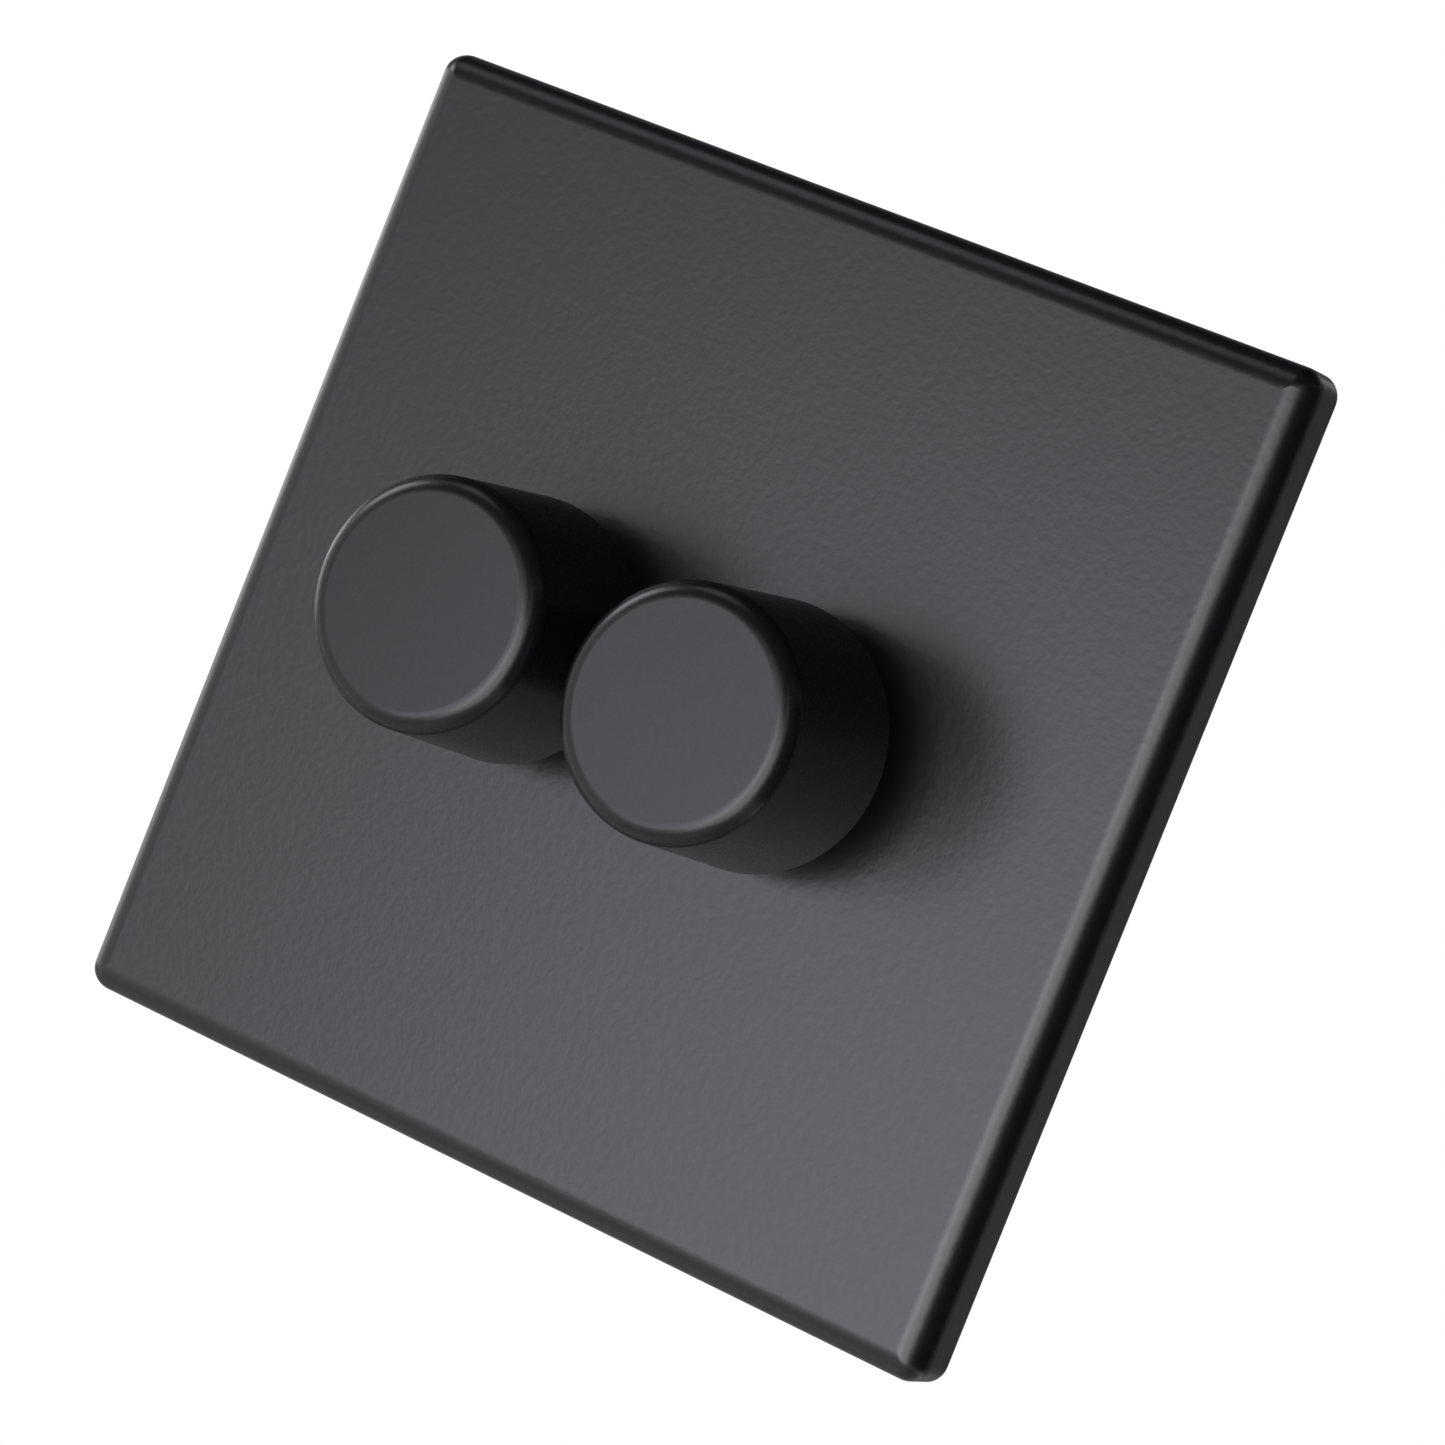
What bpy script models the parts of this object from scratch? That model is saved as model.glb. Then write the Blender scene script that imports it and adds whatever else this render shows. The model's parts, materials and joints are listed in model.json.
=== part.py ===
"""Two-gang rotary dimmer on a square screwless wall plate.

The plate faces -Y, +X is to the right and +Z is up. The origin is the centre of the plate on the wall plane,
so everything at a positive Y goes into the wall box. Sizes are in millimetres, and MM turns them to metres.
"""

import math

import bmesh
import bpy
from mathutils import Matrix, Vector

MM = 0.001
GAP = 0.3  # between neighbouring pieces
MARGIN = 1.0  # how far a cutter reaches past what it cuts
OVERLAP = 0.5  # how far a joined lump reaches into its piece

# Facets
FINE_SIDES = 48
HOLE_SIDES = 32
SIDES = 16
SMALL_SIDES = 10
CORNER_STEPS = 5
EDGE_STEPS = 6
INNER_EDGE_STEPS = 4
RIM_STEPS = 4
SLOT_STEPS = 8
SMOOTH_ANGLE = math.radians(30)

# Front plate
PLATE = 86.0
PLATE_DEPTH = 5.5
PLATE_EDGE = 2.5
PLATE_CORNER = 2.0
LEAST_CORNER = 0.4
SHEET = 1.2
PLATE_HOLE_R = 6.9

# Snap lugs inside the plate, which sit in notches of the clip frame
CLIP_WIDTH = 10.0
CLIP_LUG = 1.1
CLIP_FRONT = -1.9
CLIP_REAR = -0.9
NOTCH_DEPTH = 1.3

# Knobs
KNOB_SPACING = 24.6
KNOB_BASE_R = 11.2
KNOB_DRAFT = 0.7  # how much smaller its radii are at the top, inside and outside
KNOB_TOP_R = KNOB_BASE_R - KNOB_DRAFT
KNOB_HEIGHT = 16.0
KNOB_RIM = 1.75
KNOB_EDGE = 0.3
KNOB_STANDOFF = 5.2
KNOB_WALL = 1.8
KNOB_ROOF = 2.4
KNOB_HUB_R = 5.2
KNOB_BASE = -PLATE_DEPTH - KNOB_STANDOFF
KNOB_TOP = KNOB_BASE - KNOB_HEIGHT
HUB_END = KNOB_BASE - 0.9
BAND_THICK = 0.6
BAND_LENGTH = 4.0
BAND_SETBACK = 2.0
BAND_OPENING = 40.0
PUSH_TRAVEL = 1.5
SIDES_OF_PLATE = (("left", -1), ("right", 1))

# Yoke, the frame round it and the wall gasket
YOKE = 74.0
YOKE_THICK = 1.0
YOKE_FRONT = -2.5
YOKE_REAR = YOKE_FRONT + YOKE_THICK
YOKE_CORNER = 2.0
FRAME_OUTER = PLATE / 2 - SHEET - GAP
FRAME_FLANGE = 3.3
FRAME_LIP = 2.0
FRAME_FRONT = -3.0
FRAME_REAR = -0.9
FRAME_LIP_REAR = -0.1
GASKET_THICK = 0.6
GASKET_CORNER = 1.2

# Screws
SCREW_EDGE = 0.4
SCREW_POINT = 0.7
DRIVER_SLOT = 0.8
DRIVER_SLOT_DEPTH = 0.7
FIXING_CENTRES = 60.3
FIXING_R = 1.75
FIXING_HEAD_R = 3.1
FIXING_SLOT = 3.0  # between the centres of the yoke slot's round ends
FIXING_REACH = 22.0

# Earth terminal
EARTH_SHEET = 1.2
EARTH_WIDTH = 8.0
EARTH_FOOT_END = -34.0
EARTH_LEG = -27.0
EARTH_REACH = 8.0
EARTH_HOLE_R = 1.9
EARTH_SCREW_DEPTH = 4.4
EARTH_SCREW_R = 1.6
EARTH_HEAD_R = 2.6
EARTH_HEAD = 2.1
EARTH_SCREW_END = -23.6

# Dimmer module
CASE_WIDTH = 23.4
CASE_HEIGHT = 46.0
CASE_FRONT = YOKE_REAR + GAP
CASE_REAR = 22.0
CASE_WALL = 1.4
CASE_FRONT_WALL = 1.6
CASE_CORNER = 1.6
CASE_EDGE = 0.4
CASE_INNER_CORNER = 0.6
COVER_REAR = 24.0
SPIGOT_DEPTH = 1.6
INNER_WIDTH = CASE_WIDTH - 2 * CASE_WALL
INNER_HEIGHT = CASE_HEIGHT - 2 * CASE_WALL
INNER_FRONT = CASE_FRONT + CASE_FRONT_WALL
PEG_R = 1.2
PEG_FRONT = YOKE_FRONT + 0.2
PEG_HEIGHT = 12.0

# Spindle and bush
SPINDLE_R = 3.0
SPINDLE_FLAT = 2.0  # from the axis to the flat of its D section
SPINDLE_FRONT = -20.2
SPINDLE_EDGE = 0.5
BORE_CLEAR = 0.25  # round the spindle in the knob and the rotor
BUSH_R = 4.5
BUSH_BORE_R = 3.2
BUSH_FRONT = -7.8
BUSH_EDGE = 0.4
BUSH_HOLE_R = BUSH_R + GAP
FLANGE_R = 6.5
FLANGE_FRONT = INNER_FRONT + GAP
FLANGE_REAR = FLANGE_FRONT + 1.0
NUT_ACROSS_FLATS = 11.0
NUT_THICK = 2.0
WASHER_R = 6.2
WASHER_THICK = 0.5
GROOVE_R = 2.4
GROOVE_FRONT = FLANGE_REAR + GAP
GROOVE_REAR = GROOVE_FRONT + 0.9
RETAINER_R = 4.6
RETAINER_OPENING = 70.0
RETAINER_GAP = 0.2
RETAINER_SIDE_GAP = 0.1
TIP_R = 2.0
TIP_LENGTH = 0.7
TIP_END = 7.6  # rear end of the spindle at rest

# Potentiometer
POT_FRONT = FLANGE_REAR + GAP
POT_R = 8.4
POT_INNER_R = 7.6
POT_LIP_R = 5.6
POT_FRONT_WALL = 0.8
POT_EDGE = 0.4
ROTOR_R = 6.8
ROTOR_FRONT = 4.8
ROTOR_REAR = 6.6
FINGER_HALF = 2.4
FINGER_LOW = 4.6
FINGER_HIGH = 6.2
WAFER_HOLE_R = 3.5
WAFER_FRONT = 7.4
WAFER_REAR = 8.4

# Circuit board and push switch
BOARD_FRONT = 8.9
BOARD_REAR = 10.5
BOARD_CORNER = 0.5
BOARD_HOLE_R = 2.8
BOARD_SEAT = BOARD_REAR + GAP  # where the pieces on the board start
BOARD_WIDTH = INNER_WIDTH - 2 * GAP
BOARD_HEIGHT = INNER_HEIGHT - 2 * GAP
SWITCH_REAR = 19.0
SWITCH_SIDE = 10.5
SWITCH_BORE_R = 4.2
SWITCH_BORE_END = 17.6
STEM_R = 2.4
COLLAR_R = 3.7
COLLAR_FRONT = BOARD_REAR + 0.4
COLLAR_REAR = COLLAR_FRONT + 1.0
GUIDE_R = 1.5
GUIDE_END = SWITCH_BORE_END - PUSH_TRAVEL - 1.1
SPRING_R = 2.7
SPRING_WIRE_R = 0.3
SPRING_TURNS = 4
SPRING_POINTS = 9

# Electronics
MOULDED_EDGE = 0.4
SINK_SHEET = 1.5
SINK_REAR = 20.0
SINK_FOLD = 6.0
SINK_HALF = 9.0
TRANSISTOR_HALF = 4.0
TRANSISTOR_THICK = 3.0
TRANSISTOR_LIFT = 1.4
TRANSISTOR_REAR = 18.0
LEADS = (("a", -2.3), ("b", 0.0), ("c", 2.3))
LEAD_HALF = 0.4
LEAD_LENGTH = 2.2
LEAD_DROP = 1.6
CHOKE_R = 3.0
CHOKE_COIL_R = 1.7
CHOKE_COIL_SIDES = 8
CHOKE_X = -4.9
CHOKE_Z = 10.4
CAPACITOR_X = (1.0, 9.0)
CAPACITOR_Z = (6.8, 13.4)
CAPACITOR_REAR = 18.0
FUSE_CAP_R = 1.6
FUSE_TUBE_R = 1.3
FUSE_TUBE_END = 4.4
FUSE_CAP_START = 4.6
FUSE_END = 7.0
FUSE_LIFT = 1.9
FUSE_Z = -8.2

# Terminals
TERMINAL_PITCH = 6.4
WIRE_ENTRY = 4.4
WIRE_HEIGHT = -15.0
ENTRY_FLOOR = WIRE_HEIGHT - WIRE_ENTRY / 2
ENTRY_DEPTH = 1.6  # of the block's wall in front of a wire entry
BLOCK_CEILING = -11.2
BLOCK_FLOOR = -INNER_HEIGHT / 2 + GAP
BLOCK_REAR = 20.0
DRIVER_HOLE_R = 1.9
TERMINAL_SCREW_DEPTH = 15.5
TERMINAL_SCREW_R = 1.5
TERMINALS = (("a", -TERMINAL_PITCH), ("b", 0.0), ("c", TERMINAL_PITCH))

# Finishes: colour as red, green and blue, then metallic and roughness
FINISHES = {
    "black_powder_coat": ((0.032, 0.032, 0.034), 0.0, 0.48),
    "black_knob": ((0.026, 0.026, 0.028), 0.0, 0.42),
    "black_nylon": ((0.030, 0.030, 0.030), 0.0, 0.60),
    "zinc_steel": ((0.62, 0.63, 0.64), 1.0, 0.35),
    "spring_steel": ((0.48, 0.49, 0.50), 1.0, 0.28),
    "brass": ((0.72, 0.53, 0.25), 1.0, 0.30),
    "nickel_brass": ((0.70, 0.66, 0.58), 1.0, 0.28),
    "aluminium": ((0.76, 0.77, 0.78), 1.0, 0.38),
    "foam": ((0.055, 0.055, 0.060), 0.0, 0.95),
    "grey_case": ((0.075, 0.078, 0.082), 0.0, 0.55),
    "glass_fibre_board": ((0.035, 0.160, 0.070), 0.0, 0.45),
    "brown_phenolic": ((0.210, 0.105, 0.045), 0.0, 0.50),
    "white_acetal": ((0.760, 0.750, 0.710), 0.0, 0.45),
    "blue_polyester": ((0.060, 0.135, 0.300), 0.0, 0.45),
    "epoxy": ((0.018, 0.018, 0.019), 0.0, 0.50),
    "enamelled_copper": ((0.560, 0.240, 0.110), 0.6, 0.35),
    "yellow_film": ((0.640, 0.470, 0.080), 0.0, 0.40),
    "ceramic": ((0.780, 0.770, 0.740), 0.0, 0.30),
    "green_terminal": ((0.110, 0.240, 0.150), 0.0, 0.50),
}

# Turns a shape made about the Y axis to another axis
TURN_TO = {
    "X": Matrix.Rotation(-math.pi / 2, 4, "Z"),
    "Y": Matrix(),
    "Z": Matrix.Rotation(math.pi / 2, 4, "X"),
}


def clear_scene():
    for old in list(bpy.data.objects):
        bpy.data.objects.remove(old, do_unlink=True)


def material_for(name, finish):
    colour, metallic, roughness = FINISHES[finish]
    material = bpy.data.materials.new(name + "_" + finish)
    material.use_nodes = True
    shader = material.node_tree.nodes["Principled BSDF"]
    shader.inputs["Base Color"].default_value = (*colour, 1.0)
    shader.inputs["Metallic"].default_value = metallic
    shader.inputs["Roughness"].default_value = roughness
    return material


def finished(name, bm, finish, parent):
    """Turns a bmesh into a named object under its parent. Without a finish it is a cutter."""
    bmesh.ops.remove_doubles(bm, verts=bm.verts, dist=1e-7)
    bmesh.ops.recalc_face_normals(bm, faces=bm.faces)
    mesh = bpy.data.meshes.new(name)
    bm.to_mesh(mesh)
    bm.free()
    piece = bpy.data.objects.new(name, mesh)
    bpy.context.scene.collection.objects.link(piece)
    piece.parent = parent
    if finish:
        mesh.materials.append(material_for(name, finish))
        mesh.shade_smooth()
        mesh.set_sharp_from_angle(angle=SMOOTH_ANGLE)
    else:
        piece.hide_render = True
        piece.display_type = "WIRE"
    return piece


def combine(piece, operation, others):
    for other in others:
        modifier = piece.modifiers.new(other.name, "BOOLEAN")
        modifier.operation = operation
        modifier.solver = "EXACT"
        modifier.object = other
    return piece


def cut(piece, *cutters):
    return combine(piece, "DIFFERENCE", cutters)


def join(piece, *lumps):
    return combine(piece, "UNION", lumps)


def turned(name, outline, finish, parent, sides=SIDES, axis="Y", at=(0.0, 0.0, 0.0)):
    """Spins an outline of (radius, place along the axis) points, which closes on itself or on the axis."""
    bm = bmesh.new()
    points = [bm.verts.new((radius * MM, along * MM, 0.0)) for radius, along in outline]
    edges = [bm.edges.new(pair) for pair in zip(points, points[1:])]
    if outline[0][0] > 0 or outline[-1][0] > 0:
        edges.append(bm.edges.new((points[-1], points[0])))
    bmesh.ops.spin(
        bm,
        geom=points + edges,
        cent=(0.0, 0.0, 0.0),
        axis=(0.0, 1.0, 0.0),
        angle=2 * math.pi,
        steps=sides,
        use_merge=True,
    )
    bm.transform(Matrix.Translation(Vector(at) * MM) @ TURN_TO[axis])
    bmesh.ops.dissolve_degenerate(bm, dist=1e-8, edges=bm.edges)
    return finished(name, bm, finish, parent)


def rod(name, radius, low, high, parent, finish=None, sides=SIDES, axis="Y", at=(0.0, 0.0, 0.0)):
    outline = [(0.0, low), (radius, low), (radius, high), (0.0, high)]
    return turned(name, outline, finish, parent, sides, axis, at)


def block(name, low, high, parent, finish=None, bevel=0.0):
    bm = bmesh.new()
    bmesh.ops.create_cube(bm, size=1.0)
    low, high = Vector(low) * MM, Vector(high) * MM
    bmesh.ops.scale(bm, verts=bm.verts, vec=high - low)
    bmesh.ops.translate(bm, verts=bm.verts, vec=(low + high) / 2)
    if bevel:
        bmesh.ops.bevel(bm, geom=bm.edges[:], offset=bevel * MM, segments=1, profile=0.5, affect="EDGES")
    return finished(name, bm, finish, parent)


def skin(bm, loops, ring=False):
    """Faces between loops of as many vertices each, capped at both ends or closed to a ring."""
    pairs = list(zip(loops, loops[1:]))
    if ring:
        pairs.append((loops[-1], loops[0]))
    else:
        bm.faces.new(loops[0])
        bm.faces.new(loops[-1])
    for first, second in pairs:
        for i, vertex in enumerate(first):
            bm.faces.new((first[i - 1], vertex, second[i], second[i - 1]))


def prism(name, outline, low, high, parent, finish=None, axis="Y"):
    """Extrudes an outline. Its points are (x, z) for the Y axis and (y, z) for the X axis."""
    bm = bmesh.new()
    loops = []
    for along in (low, high):
        spots = [(u, along, v) if axis == "Y" else (along, u, v) for u, v in outline]
        loops.append([bm.verts.new(Vector(spot) * MM) for spot in spots])
    skin(bm, loops)
    return finished(name, bm, finish, parent)


def rounded_loop(bm, width, height, corner, depth):
    """A ring of vertices round a rounded rectangle at one depth."""
    loop = []
    for quarter, (side_x, side_z) in enumerate(((1, 1), (-1, 1), (-1, -1), (1, -1))):
        centre_x = side_x * (width / 2 - corner)
        centre_z = side_z * (height / 2 - corner)
        for step in range(CORNER_STEPS + 1):
            angle = math.pi / 2 * (quarter + step / CORNER_STEPS)
            x = centre_x + corner * math.cos(angle)
            z = centre_z + corner * math.sin(angle)
            loop.append(bm.verts.new((x * MM, depth * MM, z * MM)))
    return loop


def skinned(name, sections, finish, parent, ring=False):
    """Skins rounded rectangles (width, height, corner, depth) in order."""
    bm = bmesh.new()
    skin(bm, [rounded_loop(bm, *section) for section in sections], ring)
    return finished(name, bm, finish, parent)


def square_sections(steps, corner):
    """Sections for a square piece from (half width, depth) steps, with the corner kept concentric."""
    widest = max(half for half, _ in steps)
    return [(2 * half, 2 * half, max(corner - (widest - half), LEAST_CORNER), depth) for half, depth in steps]


def side_blocks(inner, outer, half, front, rear):
    """Named limits of a block in the middle of each side of a square, between two distances from its centre."""
    return (
        ("left", (-outer, front, -half), (-inner, rear, half)),
        ("right", (inner, front, -half), (outer, rear, half)),
        ("bottom", (-half, front, -outer), (half, rear, -inner)),
        ("top", (-half, front, inner), (half, rear, outer)),
    )


def arc_steps(centre_half, centre_depth, radius, steps):
    """(half width, depth) steps round a plate edge, from its side to its front."""
    quarter = [math.pi / 2 * step / steps for step in range(steps + 1)]
    return [(centre_half + radius * math.cos(a), centre_depth - radius * math.sin(a)) for a in quarter]


def arc_outline(radius, start_deg, end_deg, steps):
    angles = [math.radians(start_deg + (end_deg - start_deg) * step / steps) for step in range(steps + 1)]
    return [(radius * math.cos(a), radius * math.sin(a)) for a in angles]


def d_outline(radius, flat):
    """A circle cut off by a flat at the given height above its centre."""
    half = math.degrees(math.asin(flat / radius))
    return arc_outline(radius, 180 - half, 360 + half, SIDES)


def split_ring_outline(inner, outer, opening_deg):
    half = opening_deg / 2
    there = arc_outline(outer, 90 + half, 450 - half, SIDES)
    back = arc_outline(inner, 450 - half, 90 + half, SIDES)
    return there + back


def slot_outline(x, radius, length):
    """An upright slot with round ends, centred on the plate's height."""
    top = [(x + u, length / 2 + v) for u, v in arc_outline(radius, 0, 180, SLOT_STEPS)]
    bottom = [(x + u, -length / 2 + v) for u, v in arc_outline(radius, 180, 360, SLOT_STEPS)]
    return top + bottom


def screw_outline(head_r, top, seat, shank_r, end):
    """A screw from the top of its head to its point, with both edges broken."""
    return [
        (0.0, top),
        (head_r - SCREW_EDGE, top),
        (head_r, top + SCREW_EDGE),
        (head_r, seat),
        (shank_r, seat),
        (shank_r, end - SCREW_POINT),
        (shank_r - SCREW_POINT, end),
        (0.0, end),
    ]


def cut_driver_slot(screw, at, reach, top, parent, axis="Y"):
    """Cuts a slot across the head of a screw that stands along Y or Z."""
    x, y, z = at
    half = DRIVER_SLOT / 2
    low, high = top - MARGIN, top + DRIVER_SLOT_DEPTH
    if axis == "Y":
        limits = ((x - reach, low, z - half), (x + reach, high, z + half))
    else:
        limits = ((x - reach, y - half, low), (x + reach, y + half, high))
    cut(screw, block(screw.name + "_slot", *limits, parent))


def make_front_plate():
    half = PLATE / 2
    edge_centre = half - PLATE_EDGE
    edge_depth = PLATE_EDGE - PLATE_DEPTH
    outer = arc_steps(edge_centre, edge_depth, PLATE_EDGE, EDGE_STEPS)
    inner = arc_steps(edge_centre, edge_depth, PLATE_EDGE - SHEET, INNER_EDGE_STEPS)
    steps = list(reversed(outer)) + [(half, 0.0), (half - SHEET, 0.0)] + inner
    plate = skinned("front_plate", square_sections(steps, PLATE_CORNER), "black_powder_coat", None)
    inside = half - SHEET
    lugs = side_blocks(inside - CLIP_LUG, inside + OVERLAP, CLIP_WIDTH / 2, CLIP_FRONT, CLIP_REAR)
    for name, low, high in lugs:
        join(plate, block("plate_lug_" + name, low, high, None))
    front, rear = -PLATE_DEPTH - MARGIN, -PLATE_DEPTH + SHEET + MARGIN
    for name, side in SIDES_OF_PLATE:
        at = (side * KNOB_SPACING / 2, 0.0, 0.0)
        cut(plate, rod("plate_hole_" + name, PLATE_HOLE_R, front, rear, None, sides=HOLE_SIDES, at=at))


def make_clip_frame():
    shoulder = FRAME_OUTER - FRAME_FLANGE
    lip = YOKE / 2 - FRAME_LIP
    pocket = YOKE / 2 + GAP
    lip_front = YOKE_REAR + GAP
    steps = [
        (FRAME_OUTER, FRAME_FRONT),
        (FRAME_OUTER, FRAME_REAR),
        (shoulder, FRAME_REAR),
        (shoulder, FRAME_LIP_REAR),
        (lip, FRAME_LIP_REAR),
        (lip, lip_front),
        (pocket, lip_front),
        (pocket, FRAME_FRONT),
    ]
    sections = square_sections(steps, PLATE_CORNER - SHEET - GAP)
    frame = skinned("clip_frame", sections, "black_nylon", None, ring=True)
    inner, half = FRAME_OUTER - NOTCH_DEPTH, CLIP_WIDTH / 2 + GAP
    for name, low, high in side_blocks(inner, PLATE / 2, half, CLIP_FRONT - GAP, FRAME_REAR + MARGIN):
        cut(frame, block("frame_notch_" + name, low, high, None))


def make_wall_gasket():
    outer = PLATE / 2 - SHEET - CLIP_LUG - GAP
    inner = FRAME_OUTER - FRAME_FLANGE + GAP
    steps = [(outer, -GASKET_THICK), (outer, 0.0), (inner, 0.0), (inner, -GASKET_THICK)]
    skinned("wall_gasket", square_sections(steps, GASKET_CORNER), "foam", None, ring=True)


def make_yoke_plate():
    sections = [(YOKE, YOKE, YOKE_CORNER, depth) for depth in (YOKE_FRONT, YOKE_REAR)]
    yoke = skinned("yoke_plate", sections, "zinc_steel", None)
    low, high = YOKE_FRONT - MARGIN, YOKE_REAR + MARGIN
    for name, side in SIDES_OF_PLATE:
        x = side * KNOB_SPACING / 2
        cut(yoke, rod("yoke_bush_hole_" + name, BUSH_HOLE_R, low, high, None, at=(x, 0.0, 0.0)))
        cut(yoke, rod("yoke_peg_hole_" + name, PEG_R + GAP, low, high, None, at=(x, 0.0, PEG_HEIGHT)))
        slot = slot_outline(side * FIXING_CENTRES / 2, FIXING_R + GAP, FIXING_SLOT)
        cut(yoke, prism("yoke_slot_" + name, slot, low, high, None))


def make_fixing_screws():
    top = -PLATE_DEPTH + SHEET + GAP
    outline = screw_outline(FIXING_HEAD_R, top, YOKE_FRONT - GAP, FIXING_R, FIXING_REACH)
    for name, side in SIDES_OF_PLATE:
        at = (side * FIXING_CENTRES / 2, 0.0, 0.0)
        screw = turned("fixing_screw_" + name, outline, "zinc_steel", None, at=at)
        cut_driver_slot(screw, at, FIXING_HEAD_R + MARGIN, top, None)


def make_earth_terminal():
    foot = YOKE_REAR + GAP
    underside = EARTH_LEG - EARTH_SHEET
    outline = [
        (foot, EARTH_FOOT_END),
        (foot + EARTH_SHEET, EARTH_FOOT_END),
        (foot + EARTH_SHEET, underside),
        (EARTH_REACH, underside),
        (EARTH_REACH, EARTH_LEG),
        (foot, EARTH_LEG),
    ]
    lug = prism("earth_lug", outline, -EARTH_WIDTH / 2, EARTH_WIDTH / 2, None, "brass", axis="X")
    at = (0.0, EARTH_SCREW_DEPTH, 0.0)
    low, high = underside - MARGIN, EARTH_LEG + MARGIN
    cut(lug, rod("earth_hole", EARTH_HOLE_R, low, high, None, axis="Z", at=at))
    seat = underside - GAP
    top = seat - EARTH_HEAD
    profile = screw_outline(EARTH_HEAD_R, top, seat, EARTH_SCREW_R, EARTH_SCREW_END)
    screw = turned("earth_screw", profile, "brass", None, axis="Z", at=at)
    cut_driver_slot(screw, at, EARTH_HEAD_R + MARGIN, top, None, axis="Z")


def make_case(name, centre):
    outer = (CASE_WIDTH, CASE_HEIGHT, CASE_CORNER)
    chamfered = (CASE_WIDTH - 2 * CASE_EDGE, CASE_HEIGHT - 2 * CASE_EDGE, CASE_CORNER - CASE_EDGE)
    inside = (INNER_WIDTH, INNER_HEIGHT, CASE_INNER_CORNER)
    sections = [
        (*chamfered, CASE_FRONT),
        (*outer, CASE_FRONT + CASE_EDGE),
        (*outer, CASE_REAR),
        (*inside, CASE_REAR),
        (*inside, INNER_FRONT),
    ]
    case = skinned("module_case_" + name, sections, "grey_case", centre)
    peg_at = (0.0, 0.0, PEG_HEIGHT)
    join(case, rod("case_peg_" + name, PEG_R, PEG_FRONT, CASE_FRONT + OVERLAP, centre, at=peg_at))
    cut(case, rod("case_bush_hole_" + name, BUSH_HOLE_R, CASE_FRONT - MARGIN, INNER_FRONT + MARGIN, centre))
    low, high = -CASE_HEIGHT / 2 - MARGIN, -INNER_HEIGHT / 2 + MARGIN
    for letter, x in TERMINALS:
        at = (x, TERMINAL_SCREW_DEPTH, 0.0)
        cut(case, rod(f"driver_hole_{letter}_{name}", DRIVER_HOLE_R, low, high, centre, axis="Z", at=at))
    spigot = (BOARD_WIDTH, BOARD_HEIGHT, BOARD_CORNER)
    rim = CASE_REAR + GAP
    sections = [
        (*spigot, CASE_REAR - SPIGOT_DEPTH),
        (*spigot, rim),
        (*outer, rim),
        (*outer, COVER_REAR - CASE_EDGE),
        (*chamfered, COVER_REAR),
    ]
    cover = skinned("rear_cover_" + name, sections, "grey_case", centre)
    half = WIRE_ENTRY / 2
    for letter, x in TERMINALS:
        low = (x - half, CASE_REAR - SPIGOT_DEPTH - MARGIN, ENTRY_FLOOR)
        high = (x + half, COVER_REAR + MARGIN, ENTRY_FLOOR + WIRE_ENTRY)
        cut(cover, block(f"cover_entry_{letter}_{name}", low, high, centre))


def make_bush(name, centre):
    outline = [
        (BUSH_BORE_R, BUSH_FRONT),
        (BUSH_R - BUSH_EDGE, BUSH_FRONT),
        (BUSH_R, BUSH_FRONT + BUSH_EDGE),
        (BUSH_R, FLANGE_FRONT),
        (FLANGE_R, FLANGE_FRONT),
        (FLANGE_R, FLANGE_REAR),
        (BUSH_BORE_R, FLANGE_REAR),
    ]
    turned("threaded_bush_" + name, outline, "nickel_brass", centre)
    rear = YOKE_FRONT - GAP
    front = rear - WASHER_THICK
    washer = [(BUSH_HOLE_R, front), (WASHER_R, front), (WASHER_R, rear), (BUSH_HOLE_R, rear)]
    turned("bush_washer_" + name, washer, "zinc_steel", centre)
    nut_rear = front - GAP
    nut_front = nut_rear - NUT_THICK
    hexagon = arc_outline(NUT_ACROSS_FLATS / 2 / math.cos(math.pi / 6), 0, 300, 5)
    nut = prism("bush_nut_" + name, hexagon, nut_front, nut_rear, centre, "nickel_brass")
    cut(nut, rod("nut_bore_" + name, BUSH_HOLE_R, nut_front - MARGIN, nut_rear + MARGIN, centre))


def make_potentiometer(name, centre):
    lip_rear = POT_FRONT + POT_FRONT_WALL
    rear = BOARD_FRONT - GAP
    housing = [
        (POT_LIP_R, POT_FRONT),
        (POT_R - POT_EDGE, POT_FRONT),
        (POT_R, POT_FRONT + POT_EDGE),
        (POT_R, rear),
        (POT_INNER_R, rear),
        (POT_INNER_R, lip_rear),
        (POT_LIP_R, lip_rear),
    ]
    turned("pot_housing_" + name, housing, "zinc_steel", centre)
    edge = POT_INNER_R - GAP
    wafer = [(WAFER_HOLE_R, WAFER_FRONT), (edge, WAFER_FRONT), (edge, WAFER_REAR), (WAFER_HOLE_R, WAFER_REAR)]
    turned("track_wafer_" + name, wafer, "brown_phenolic", centre)
    rotor = rod("wiper_rotor_" + name, ROTOR_R, ROTOR_FRONT, ROTOR_REAR, centre, "white_acetal")
    low = (-FINGER_HALF, ROTOR_REAR - OVERLAP, FINGER_LOW)
    high = (FINGER_HALF, WAFER_FRONT - GAP, FINGER_HIGH)
    join(rotor, block("wiper_finger_" + name, low, high, centre))
    bore = d_outline(SPINDLE_R + BORE_CLEAR, SPINDLE_FLAT + BORE_CLEAR)
    cut(rotor, prism("rotor_bore_" + name, bore, ROTOR_FRONT - MARGIN, ROTOR_REAR + MARGIN, centre))


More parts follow.
